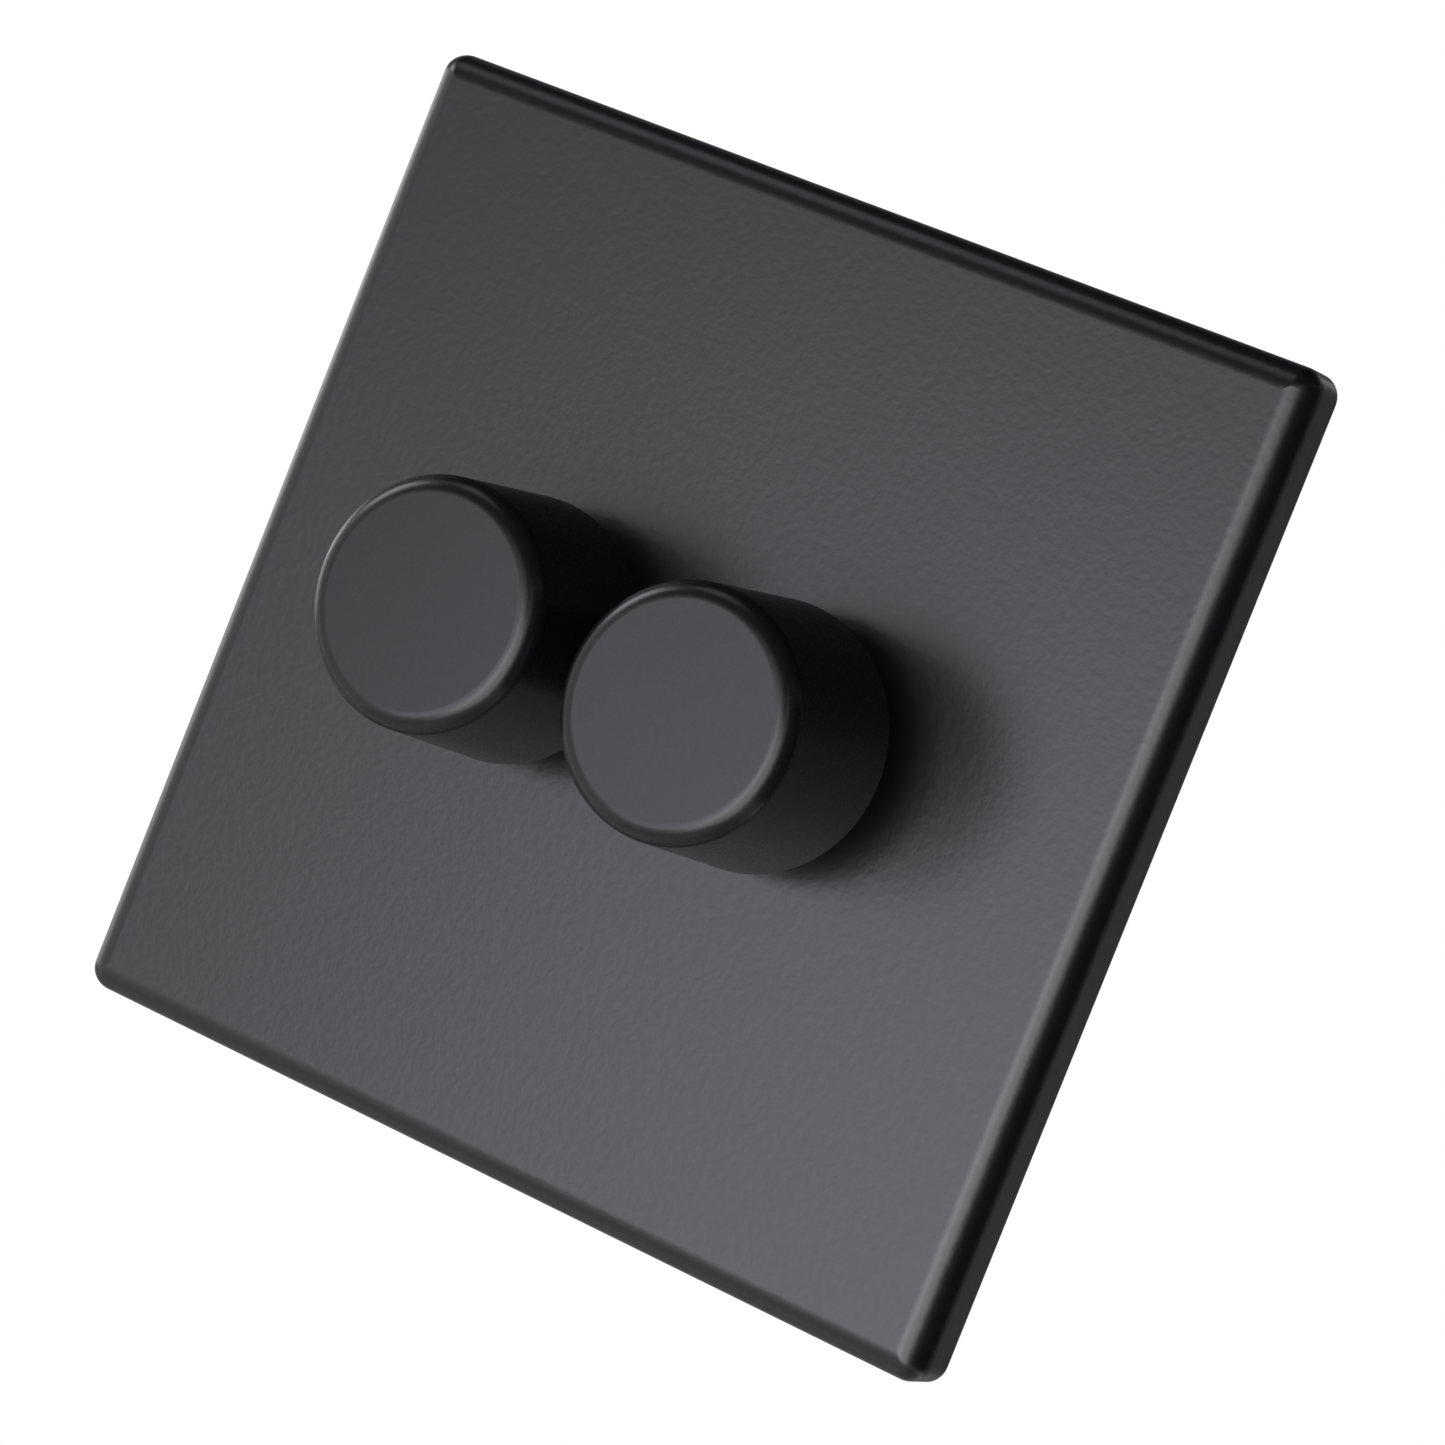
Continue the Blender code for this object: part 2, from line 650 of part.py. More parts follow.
def make_spindle(name, centre):
    outline = [
        (0.0, SPINDLE_FRONT),
        (SPINDLE_R - SPINDLE_EDGE, SPINDLE_FRONT),
        (SPINDLE_R, SPINDLE_FRONT + SPINDLE_EDGE),
        (SPINDLE_R, GROOVE_FRONT),
        (GROOVE_R, GROOVE_FRONT),
        (GROOVE_R, GROOVE_REAR),
        (SPINDLE_R, GROOVE_REAR),
        (SPINDLE_R, TIP_END - TIP_LENGTH),
        (TIP_R, TIP_END - TIP_LENGTH),
        (TIP_R, TIP_END),
        (0.0, TIP_END),
    ]
    spindle = turned("spindle_" + name, outline, "aluminium", centre)
    reach = SPINDLE_R + MARGIN
    for end, low, high in (
        ("front", SPINDLE_FRONT - MARGIN, HUB_END + MARGIN),
        ("rear", GROOVE_REAR, TIP_END + MARGIN),
    ):
        limits = (-reach, low, SPINDLE_FLAT), (reach, high, reach)
        cut(spindle, block(f"spindle_flat_{end}_{name}", *limits, centre))
    ring = split_ring_outline(GROOVE_R + RETAINER_GAP, RETAINER_R, RETAINER_OPENING)
    low, high = GROOVE_FRONT + RETAINER_SIDE_GAP, GROOVE_REAR - RETAINER_SIDE_GAP
    prism("spindle_clip_" + name, ring, low, high, centre, "spring_steel")


def make_knob(name, centre):
    ceiling = KNOB_TOP + KNOB_ROOF
    inner_r = KNOB_BASE_R - KNOB_WALL
    rim = [math.pi / 2 * step / RIM_STEPS for step in range(RIM_STEPS + 1)]
    rim_r, rim_y = KNOB_TOP_R - KNOB_RIM, KNOB_TOP + KNOB_RIM
    outline = [(0.0, KNOB_TOP)]
    outline += [(rim_r + KNOB_RIM * math.sin(a), rim_y - KNOB_RIM * math.cos(a)) for a in rim]
    outline += [
        (KNOB_BASE_R, KNOB_BASE - KNOB_EDGE),
        (KNOB_BASE_R - KNOB_EDGE, KNOB_BASE),
        (inner_r, KNOB_BASE),
        (inner_r - KNOB_DRAFT, ceiling),
        (KNOB_HUB_R, ceiling),
        (KNOB_HUB_R, HUB_END),
        (0.0, HUB_END),
    ]
    knob = turned("knob_" + name, outline, "black_knob", centre, sides=FINE_SIDES)
    bore = d_outline(SPINDLE_R + BORE_CLEAR, SPINDLE_FLAT + BORE_CLEAR)
    cut(knob, prism("knob_bore_" + name, bore, SPINDLE_FRONT - GAP, HUB_END + MARGIN, centre))
    band = split_ring_outline(KNOB_HUB_R + GAP, KNOB_HUB_R + GAP + BAND_THICK, BAND_OPENING)
    rear = HUB_END - BAND_SETBACK
    prism("knob_spring_" + name, band, rear - BAND_LENGTH, rear, centre, "spring_steel")


def make_push_switch(name, centre):
    half = SWITCH_SIDE / 2
    low, high = (-half, BOARD_SEAT, -half), (half, SWITCH_REAR, half)
    body = block("switch_body_" + name, low, high, centre, "blue_polyester", bevel=MOULDED_EDGE)
    cut(body, rod("switch_bore_" + name, SWITCH_BORE_R, BOARD_SEAT - MARGIN, SWITCH_BORE_END, centre))
    outline = [
        (0.0, TIP_END + GAP),
        (STEM_R, TIP_END + GAP),
        (STEM_R, COLLAR_FRONT),
        (COLLAR_R, COLLAR_FRONT),
        (COLLAR_R, COLLAR_REAR),
        (GUIDE_R, COLLAR_REAR),
        (GUIDE_R, GUIDE_END),
        (0.0, GUIDE_END),
    ]
    turned("switch_plunger_" + name, outline, "white_acetal", centre)
    make_spring("return_spring_" + name, COLLAR_REAR + GAP, SWITCH_BORE_END - GAP, centre)


def make_spring(name, low, high, centre):
    """A compression spring: a helix of round wire from one seat to the other."""
    start, end = low + SPRING_WIRE_R, high - SPRING_WIRE_R
    steps = SPRING_TURNS * SPRING_POINTS
    curve = bpy.data.curves.new(name, "CURVE")
    curve.dimensions = "3D"
    curve.bevel_depth = SPRING_WIRE_R * MM
    curve.bevel_resolution = 1
    curve.use_fill_caps = True
    spline = curve.splines.new("POLY")
    spline.points.add(steps)
    turns = []
    for i, point in enumerate(spline.points):
        angle = 2 * math.pi * i / SPRING_POINTS
        along = start + (end - start) * i / steps
        turns.append(Vector((SPRING_R * math.cos(angle), along, SPRING_R * math.sin(angle))))
        point.co = (*turns[-1] * MM, 1.0)
    spring = bpy.data.objects.new(name, curve)
    bpy.context.scene.collection.objects.link(spring)
    spring.parent = centre
    curve.materials.append(material_for(name, "spring_steel"))
    least = min((turns[i + SPRING_POINTS] - turns[i]).length for i in range(steps - SPRING_POINTS))
    print(name, "least gap between turns", round(least - 2 * SPRING_WIRE_R, 2), "mm")


def make_heat_sink(name, centre):
    """A folded strip under the roof of the case, with the power transistor hanging from it."""
    roof = BOARD_HEIGHT / 2
    underside = roof - SINK_SHEET
    sink = [
        (BOARD_SEAT, underside),
        (BOARD_SEAT, roof),
        (SINK_REAR, roof),
        (SINK_REAR, roof - SINK_FOLD),
        (SINK_REAR - SINK_SHEET, roof - SINK_FOLD),
        (SINK_REAR - SINK_SHEET, underside),
    ]
    prism("heat_sink_" + name, sink, -SINK_HALF, SINK_HALF, centre, "aluminium", axis="X")
    top = underside - GAP
    low = (-TRANSISTOR_HALF, BOARD_SEAT + TRANSISTOR_LIFT, top - TRANSISTOR_THICK)
    high = (TRANSISTOR_HALF, TRANSISTOR_REAR, top)
    transistor = block("power_transistor_" + name, low, high, centre, "epoxy", bevel=MOULDED_EDGE)
    middle = top - LEAD_DROP
    for letter, x in LEADS:
        low = (x - LEAD_HALF, BOARD_SEAT, middle - LEAD_HALF)
        high = (x + LEAD_HALF, BOARD_SEAT + LEAD_LENGTH, middle + LEAD_HALF)
        join(transistor, block(f"transistor_lead_{letter}_{name}", low, high, centre))


def make_electronics(name, centre):
    sections = [(BOARD_WIDTH, BOARD_HEIGHT, BOARD_CORNER, depth) for depth in (BOARD_FRONT, BOARD_REAR)]
    board = skinned("circuit_board_" + name, sections, "glass_fibre_board", centre)
    cut(board, rod("board_hole_" + name, BOARD_HOLE_R, BOARD_FRONT - MARGIN, BOARD_REAR + MARGIN, centre))
    make_heat_sink(name, centre)
    last = 360 - 360 / CHOKE_COIL_SIDES
    coil = arc_outline(CHOKE_COIL_R, 0, last, CHOKE_COIL_SIDES - 1)
    ring = [(CHOKE_R + u, v) for u, v in coil]
    choke_at = (CHOKE_X, BOARD_SEAT + CHOKE_COIL_R, CHOKE_Z)
    turned("choke_" + name, ring, "enamelled_copper", centre, at=choke_at)
    low = (CAPACITOR_X[0], BOARD_SEAT, CAPACITOR_Z[0])
    high = (CAPACITOR_X[1], CAPACITOR_REAR, CAPACITOR_Z[1])
    block("capacitor_" + name, low, high, centre, "yellow_film", bevel=MOULDED_EDGE)
    half = [(FUSE_TUBE_R, FUSE_TUBE_END), (FUSE_CAP_R, FUSE_CAP_START), (FUSE_CAP_R, FUSE_END), (0.0, FUSE_END)]
    fuse = [(radius, -along) for radius, along in reversed(half)] + half
    fuse_at = (0.0, BOARD_SEAT + FUSE_LIFT, FUSE_Z)
    turned("fuse_" + name, fuse, "ceramic", centre, SMALL_SIDES, "X", fuse_at)


def make_terminals(name, centre):
    half_width = BOARD_WIDTH / 2
    low, high = (-half_width, BOARD_SEAT, BLOCK_FLOOR), (half_width, BLOCK_REAR, BLOCK_CEILING)
    body = block("terminal_block_" + name, low, high, centre, "green_terminal", bevel=MOULDED_EDGE)
    half = WIRE_ENTRY / 2
    bore_r = TERMINAL_SCREW_R + GAP
    top = BLOCK_FLOOR + GAP
    outline = [
        (0.0, top),
        (TERMINAL_SCREW_R, top),
        (TERMINAL_SCREW_R, ENTRY_FLOOR - SCREW_POINT),
        (TERMINAL_SCREW_R - SCREW_POINT, ENTRY_FLOOR),
        (0.0, ENTRY_FLOOR),
    ]
    for letter, x in TERMINALS:
        low = (x - half, BOARD_SEAT + ENTRY_DEPTH, ENTRY_FLOOR)
        high = (x + half, BLOCK_REAR + MARGIN, ENTRY_FLOOR + WIRE_ENTRY)
        cut(body, block(f"wire_entry_{letter}_{name}", low, high, centre))
        at = (x, TERMINAL_SCREW_DEPTH, 0.0)
        bore = rod(f"screw_bore_{letter}_{name}", bore_r, BLOCK_FLOOR - MARGIN, WIRE_HEIGHT, centre, axis="Z", at=at)
        cut(body, bore)
        screw_name = f"terminal_screw_{letter}_{name}"
        screw = turned(screw_name, outline, "zinc_steel", centre, SMALL_SIDES, "Z", at)
        cut_driver_slot(screw, at, TERMINAL_SCREW_R + MARGIN, top, centre, axis="Z")


def make_dimmer(name, side):
    """One dimmer module and its knob, under an empty on the axis that the knob turns about."""
    centre = bpy.data.objects.new("dimmer_" + name, None)
    centre.location = (side * KNOB_SPACING / 2 * MM, 0.0, 0.0)
    bpy.context.scene.collection.objects.link(centre)
    make_case(name, centre)
    make_bush(name, centre)
    make_potentiometer(name, centre)
    make_spindle(name, centre)
    make_knob(name, centre)
    make_push_switch(name, centre)
    make_electronics(name, centre)
    make_terminals(name, centre)


def main():
    clear_scene()
    make_front_plate()
    make_clip_frame()
    make_wall_gasket()
    make_yoke_plate()
    make_fixing_screws()
    make_earth_terminal()
    for name, side in SIDES_OF_PLATE:
        make_dimmer(name, side)


main()
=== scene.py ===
"""Finish pieces, materials and studio for a two-gang rotary dimmer on a square screwless plate.

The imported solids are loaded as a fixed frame, and every piece is modelled again over its solid, with rolled
edges, threads and moulded detail. The plate faces -Y, +X is to the right and +Z is up. Lengths are metres,
and MM turns millimetres to metres. What both dimmers have is modelled on the left one and copied to the
right one.
"""

import json
import math

import bmesh
import bpy
from bpy.props import FloatProperty, FloatVectorProperty, IntProperty, PointerProperty
from mathutils import Matrix, Vector

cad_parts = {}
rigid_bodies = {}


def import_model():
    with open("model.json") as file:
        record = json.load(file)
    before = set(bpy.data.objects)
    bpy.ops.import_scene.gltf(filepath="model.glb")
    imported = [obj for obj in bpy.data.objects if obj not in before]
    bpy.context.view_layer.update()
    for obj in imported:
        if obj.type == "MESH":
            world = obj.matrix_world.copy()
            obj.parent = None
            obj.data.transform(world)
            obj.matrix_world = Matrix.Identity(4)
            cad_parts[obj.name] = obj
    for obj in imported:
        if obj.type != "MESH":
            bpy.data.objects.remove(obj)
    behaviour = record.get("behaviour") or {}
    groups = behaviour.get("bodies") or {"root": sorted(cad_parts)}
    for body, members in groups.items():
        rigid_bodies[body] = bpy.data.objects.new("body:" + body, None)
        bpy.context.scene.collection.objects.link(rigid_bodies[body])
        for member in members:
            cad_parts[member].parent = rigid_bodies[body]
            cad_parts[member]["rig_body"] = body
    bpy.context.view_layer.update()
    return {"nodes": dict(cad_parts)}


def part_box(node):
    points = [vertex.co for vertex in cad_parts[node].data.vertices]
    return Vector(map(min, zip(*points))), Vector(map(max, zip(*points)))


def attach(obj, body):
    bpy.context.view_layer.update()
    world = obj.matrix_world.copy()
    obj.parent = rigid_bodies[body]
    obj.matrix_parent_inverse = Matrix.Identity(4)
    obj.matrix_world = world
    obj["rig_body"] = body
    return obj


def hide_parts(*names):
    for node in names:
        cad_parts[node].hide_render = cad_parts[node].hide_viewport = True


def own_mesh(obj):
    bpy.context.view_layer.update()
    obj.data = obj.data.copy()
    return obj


bl_info = {
    "name": "Two-gang rotary dimmer",
    "version": (1, 0, 0),
    "blender": (4, 5, 0),
    "location": "3D View > Sidebar > Dimmer",
    "description": "Models the finish pieces of a two-gang rotary dimmer over its packed solids",
    "category": "Object",
}

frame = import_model()

MM = 0.001
ROUND = 64  # sides of a turned piece
FINE_ROUND = 128
SMALL_ROUND = 32
COARSE_ROUND = 24
REACH = 2 * MM  # how far a cutter reaches past what it cuts
SINK = 0.5 * MM  # how far a joined lump reaches into its piece
LOOSE = REACH / 4  # how much wider a blank is than the thread that it trims
MERGE = 1e-6  # points that are closer than this are one
SLICE_MERGE = 1e-7  # the same where a mesh is sliced
STRAIGHT = 0.999  # least cosine between an edge and the axis that it runs along
THREAD_DEPTH = 0.55  # of the pitch
THREAD_FLANK = 3 / 8  # of the pitch
HEAD_EDGE = 1 / 6  # of a screw head's radius
SMOOTH_ANGLE = math.radians(35)
AXES = {"X": Vector((1, 0, 0)), "Y": Vector((0, 1, 0)), "Z": Vector((0, 0, 1))}
CIRCLE_FACES = {"X": (0, math.pi / 2, 0), "Y": (math.pi / 2, 0, 0), "Z": (0, 0, 0)}
TERMINAL_LETTERS = ("a", "b", "c")
SENSOR = 36.0  # width in millimetres
MIX_FIRST = 6  # the Mix node's socket for its first colour
MIX_SECOND = 7
MIX_RESULT = 2  # its output socket for a colour
# Softboxes: azimuth from the plate's front towards +X and elevation in degrees, width and height in metres,
# brightness and colour
SOFTBOXES = {
    "left_softbox": (-11, -15, 0.48, 0.42, 3.3, "F1EEFF"),
    "front_softbox": (16, -19, 0.54, 0.66, 3.4, "FFFCFB"),
    "upper_softbox": (4, 16, 0.36, 0.24, 0.9, "F4F3FF"),
    "side_softbox": (-73, 23, 0.26, 0.24, 4.5, "F4F3FF"),
    "edge_softbox": (-105, -3, 0.40, 0.28, 1.15, "FFFFFF"),
    "top_softbox": (-50, 54, 0.30, 0.25, 1.3, "F1F2FF"),
    "low_softbox": (-40, -65, 0.90, 0.60, 0.25, "FFFFFF"),
    "rear_softbox": (165, 40, 0.50, 0.40, 4.0, "FFFFFF"),
}
FILL_LIGHTS = ("rear_softbox",)  # they light what is in front of them, but no gloss mirrors them
# Flags: azimuth, elevation, width, height and shade
FLAGS = {
    "right_flag": (90, 0, 1.7, 1.4, "141414"),
    "rear_right_flag": (150, 0, 0.8, 1.2, "B4B4B4"),
    "top_flag": (0, 90, 2.2, 2.2, "141414"),
    "front_flag": (-10, 32, 1.6, 0.65, "141414"),
    "rear_left_flag": (-138, -28, 1.5, 0.8, "E0E0E0"),
    "rear_top_flag": (-135, 26, 1.4, 0.6, "B4B4B4"),
}


def linear(hex_value):
    """A linear colour from an sRGB hex value."""
    channels = [int(hex_value[i : i + 2], 16) / 255 for i in (0, 2, 4)]
    return [c / 12.92 if c <= 0.04045 else ((c + 0.055) / 1.055) ** 2.4 for c in channels]


def length(name, description, millimetres):
    return FloatProperty(name=name, description=description, default=millimetres * MM, unit="LENGTH")


def angle(name, description, degrees):
    return FloatProperty(name=name, description=description, default=math.radians(degrees), subtype="ANGLE")


def colour(name, description, hex_value):
    return FloatVectorProperty(name=name, description=description, default=linear(hex_value), subtype="COLOR")


class PlateSizes(bpy.types.PropertyGroup):
    """Sizes of the pressed front plate."""

    edge: length("Edge radius", "Radius that the plate's edge is rolled to", 2.5)
    corner: length("Corner radius", "Radius of the plate's corners seen from the front", 2.0)
    sheet: length("Sheet", "Thickness of the pressed steel", 1.2)
    hole: length("Hole radius", "Radius of the holes that the bushes come through", 6.9)
    hole_edge: length("Hole edge", "Radius that the holes' front edges are rolled to", 0.35)
    lug: length("Lug depth", "How far a snap lug stands out from the inside of the plate", 1.1)
    lug_width: length("Lug width", "Width of a snap lug", 10.0)
    lug_front: length("Lug front", "Front of the snap lugs, from the wall", -1.9)
    lug_rear: length("Lug rear", "Rear of the snap lugs, from the wall", -0.9)
    steps: IntProperty(name="Edge steps", description="Facets across the rolled edge", default=14, min=2)


class KnobSizes(bpy.types.PropertyGroup):
    """Sizes of the dimmer knobs and of what they turn."""

    taper: length("Taper", "How much smaller the radii are at the top, inside and outside", 0.7)
    rim: length("Rim radius", "Radius of the rounded rim round the top", 1.75)
    edge: length("Base edge", "Radius of the edges of the base", 0.3)
    wall: length("Wall", "Thickness of the knob's skirt", 1.8)
    roof: length("Roof", "Thickness of the knob's top", 2.4)
    hub: length("Hub radius", "Radius of the hub that grips the spindle", 5.2)
    hub_setback: length("Hub setback", "How far the hub ends inside the base", 0.9)
    spindle: length("Spindle radius", "Radius of the spindle", 3.0)
    flat: length("Spindle flat", "Height of the spindle's flat above its axis", 2.0)
    clearance: length("Clearance", "Gap round the spindle in a D-shaped bore", 0.25)
    steps: IntProperty(name="Rim steps", description="Facets across the rounded rim", default=14, min=2)


class FrameSizes(bpy.types.PropertyGroup):
    """Sizes of the clip frame, the gasket and the yoke."""

    flange: length("Flange", "Width of the frame's flange outside its lip", 3.3)
    flange_rear: length("Flange rear", "Rear of the frame's flange, from the wall", -0.9)
    lip: length("Lip", "How far the frame's lip reaches under the yoke", 2.0)
    gap: length("Gap", "Gap between neighbouring pieces", 0.3)
    notch: length("Notch", "Depth of the notches that the plate's lugs snap into", 1.3)
    corner: length("Corner radius", "Radius of the frame's corners", 0.5)
    ejector: length("Ejector radius", "Radius of the round marks that ejector pins leave", 1.1)
    gasket: length("Gasket width", "Width of the foam gasket", 1.9)
    gasket_corner: length("Gasket corner", "Radius of the gasket's corners", 1.2)
    yoke_corner: length("Yoke corner", "Radius of the yoke's corners", 2.0)
    slot: length("Slot width", "Width of the yoke's slots for the fixing screws", 4.1)
    slot_height: length("Slot height", "Height of the yoke's slots for the fixing screws", 7.1)
    bush_hole: length("Bush hole", "Radius of the holes for the bushes", 4.8)
    peg_hole: length("Peg hole", "Radius of the holes for the cases' pegs", 1.5)
    peg_height: length("Peg height", "Height of the pegs above the spindles", 12.0)
    edge: length("Edge radius", "Radius of the small edges of the frame and the yoke", 0.12)
    ejector_depth: length("Ejector depth", "Depth of the ejector marks", 0.125)
    gasket_edge: length("Gasket edge", "Radius of the gasket's edges", 0.15)


class ModuleSizes(bpy.types.PropertyGroup):
    """Sizes of the moulded dimmer modules."""

    corner: length("Corner radius", "Radius of the case's corners", 1.6)
    edge: length("Edge radius", "Radius of the case's front edge and the cover's rear edge", 0.4)
    wall: length("Wall", "Thickness of the case's sides", 1.4)
    front_wall: length("Front wall", "Thickness of the case's front", 1.6)
    peg: length("Peg radius", "Radius of the peg that keeps the case from turning", 1.2)
    driver_hole: length("Driver hole", "Radius of the holes that reach the terminal screws", 1.9)
    screw_depth: length("Screw depth", "Depth of the terminal screws, from the wall", 15.5)
    pitch: length("Terminal pitch", "Spacing of the terminals", 6.4)
    entry: length("Wire entry", "Side of the square wire entries", 4.4)
    entry_height: length("Entry height", "Height of the wire entries, from the spindles", -15.0)
    latch: length("Latch width", "Width of the latches that hold the rear cover", 5.0)
    panel: length("Panel depth", "Depth of the bare panel moulded into the rear cover", 0.3)
    peg_edge: length("Peg edge", "Width of the bevel at the peg's end", 0.3)
    driver_mouth: length("Driver mouth", "Radius of the mouths of the driver holes", 2.375)
    entry_flare: length("Entry flare", "How far the mouths of the wire entries spread on each side", 0.5)
    latch_front: length("Latch front", "Front of the latches, from the case's rear rim", 1.4)
    latch_rear: length("Latch rear", "Rear of the latches, from the case's rear rim", 0.4)
    latch_gap: length("Latch gap", "Gap round a latch in its window", 0.15)
    latch_stand: length("Latch stand", "How far a latch stands out of the case's side", 0.2)
    panel_margin: length("Panel margin", "From the panel to the cover's sides and top", 3.0)
    panel_bottom: length("Panel bottom", "Height of the panel's bottom, from the spindles", -4.0)
    panel_corner: length("Panel corner", "Radius of the panel's corners", 1.0)


class HardwareSizes(bpy.types.PropertyGroup):
    """Sizes of the screws, the earth lug, the bushes and the nuts."""

    fixing_head: length("Fixing head", "Radius of the fixing screws' heads", 3.1)
    fixing_shank: length("Fixing shank", "Radius of the fixing screws' threads", 1.75)
    fixing_seat: length("Fixing seat", "Underside of the fixing screws' heads, from the wall", -2.8)
    fixing_pitch: length("Fixing pitch", "Thread pitch of the fixing screws", 0.6)
    earth_shank: length("Earth shank", "Radius of the earth screw's thread", 1.6)
    earth_head: length("Earth head height", "Height of the earth screw's head", 2.1)
    terminal_shank: length("Terminal shank", "Radius of the terminal screws' threads", 1.5)
    fine_pitch: length("Fine pitch", "Thread pitch of the earth and terminal screws", 0.5)
    driver_slot: length("Driver slot", "Width of the slot in a screw's head", 0.8)
    slot_depth: length("Slot depth", "Depth of the slot in a screw's head", 0.7)
    bush: length("Bush radius", "Radius of the bushes' threads", 4.5)
    bush_bore: length("Bush bore", "Radius of the bushes' bores", 3.2)
    bush_pitch: length("Bush pitch", "Thread pitch of the bushes", 0.75)
    bush_flange: length("Bush flange", "Thickness of the bushes' flanges", 1.0)
    nut: length("Nut", "Size of the nuts across their flats", 11.0)
    screw_gap: length("Screw gap", "Gap between a screw and its hole", 0.3)
    lug_bend: length("Lug bend", "Radius of the outside of the earth lug's bend", 1.6)
    lug_corner: length("Lug corner", "Radius of the earth lug's corners", 1.4)
    lug_edge: length("Lug edge", "Radius of the earth lug's edges", 0.1)
    weld: length("Spot weld", "Radius of the dimples that spot welds leave", 1.0)
    weld_floor: length("Weld floor", "Radius of the floor of a spot weld's dimple", 0.7)
    weld_depth: length("Weld depth", "Depth of a spot weld's dimple", 0.24)
    bush_edge: length("Bush edge", "Radius of the flange's edges and width of the bore's bevel", 0.2)
    nut_face: length("Nut face", "Radius of the nuts' flat faces inside their chamfers", 5.335)


class ControlSizes(bpy.types.PropertyGroup):
    """Sizes of the spindles, potentiometers and push switches."""

    spindle_edge: length("Spindle edge", "Width of the bevel at the spindle's front", 0.5)
    tip: length("Tip radius", "Radius of the tip that presses on the plunger", 2.0)
    tip_length: length("Tip length", "Length of the spindle's tip", 0.7)
    groove: length("Groove radius", "Radius of the spindle in the clip's groove", 2.4)
    groove_gap: length("Groove gap", "Gap on each side of the clip in its groove", 0.1)
    flat_spare: length("Flat spare", "How far the front flat runs on behind the knob", 0.1)
    clip_inner: length("Clip inside", "Inner radius of the clip that keeps the spindle in", 2.6)
    clip_outer: length("Clip outside", "Outer radius of the clip that keeps the spindle in", 4.6)
    clip_opening: angle("Clip opening", "Angle of the opening in the clip", 70)
    clip_edge: length("Clip edge", "Radius of the clip's edges", 0.08)
    band_inner: length("Grip inside", "Inner radius of the spring that grips the knob's hub", 5.5)
    band_outer: length("Grip outside", "Outer radius of the spring that grips the knob's hub", 6.1)
    band_opening: angle("Grip opening", "Angle of the opening in the grip spring", 40)
    band_edge: length("Grip edge", "Radius of the grip spring's edges", 0.1)
    pot_wall: length("Housing wall", "Thickness of the potentiometer's housing", 0.8)
    pot_hole: length("Housing hole", "Radius of the hole in the housing's front", 5.6)
    pot_edge: length("Housing edge", "Radius of the housing's front edge", 0.4)
    crimp: length("Crimp width", "Width of the gaps between the housing's crimped rims", 2.4)
    wafer_hole: length("Wafer hole", "Radius of the hole in the track wafer", 3.5)
    wafer_edge: length("Wafer edge", "Radius of the track wafer's edges", 0.15)
    rotor_rear: length("Rotor rear", "Rear of the wiper rotor's disc, from the wall", 6.6)
    rotor_edge: length("Rotor edge", "Radius of the edges of the rotor and its finger", 0.3)
    finger_width: length("Finger width", "Width of the rotor's finger", 4.8)
    finger_low: length("Finger bottom", "Height of the finger's bottom above the spindle", 4.6)
    finger_high: length("Finger top", "Height of the finger's top above the spindle", 6.2)
    switch_corner: length("Switch corner", "Radius of the switch body's corners", 0.6)
    switch_edge: length("Switch edge", "Radius of the switch body's rear edge", 0.4)
    switch_bore: length("Switch bore", "Radius of the bore that the plunger runs in", 4.2)
    bore_end: length("Bore end", "Rear of the switch's bore, from the wall", 17.6)
    seam: length("Seam width", "Width of the seams across the switch body", 0.6)
    seam_place: length("Seam place", "From a seam's front to the rear of the switch body", 3.0)
    seam_depth: length("Seam depth", "Depth of the seams", 0.3)
    stem: length("Stem radius", "Radius of the plunger's stem", 2.4)
    collar: length("Collar radius", "Radius of the plunger's collar", 3.7)
    collar_front: length("Collar front", "Front of the plunger's collar, from the wall", 10.9)
    collar_rear: length("Collar rear", "Rear of the plunger's collar, from the wall", 11.9)
    guide: length("Guide radius", "Radius of the pin that guides the return spring", 1.5)
    plunger_edge: length("Plunger edge", "Radius of the plunger's edges", 0.2)
    wire: length("Wire radius", "Radius of the return spring's wire", 0.3)
    coil: length("Coil radius", "Radius of the return spring to the middle of its wire", 2.7)
    turns: IntProperty(name="Spring turns", description="Turns of the return spring", default=4, min=1)


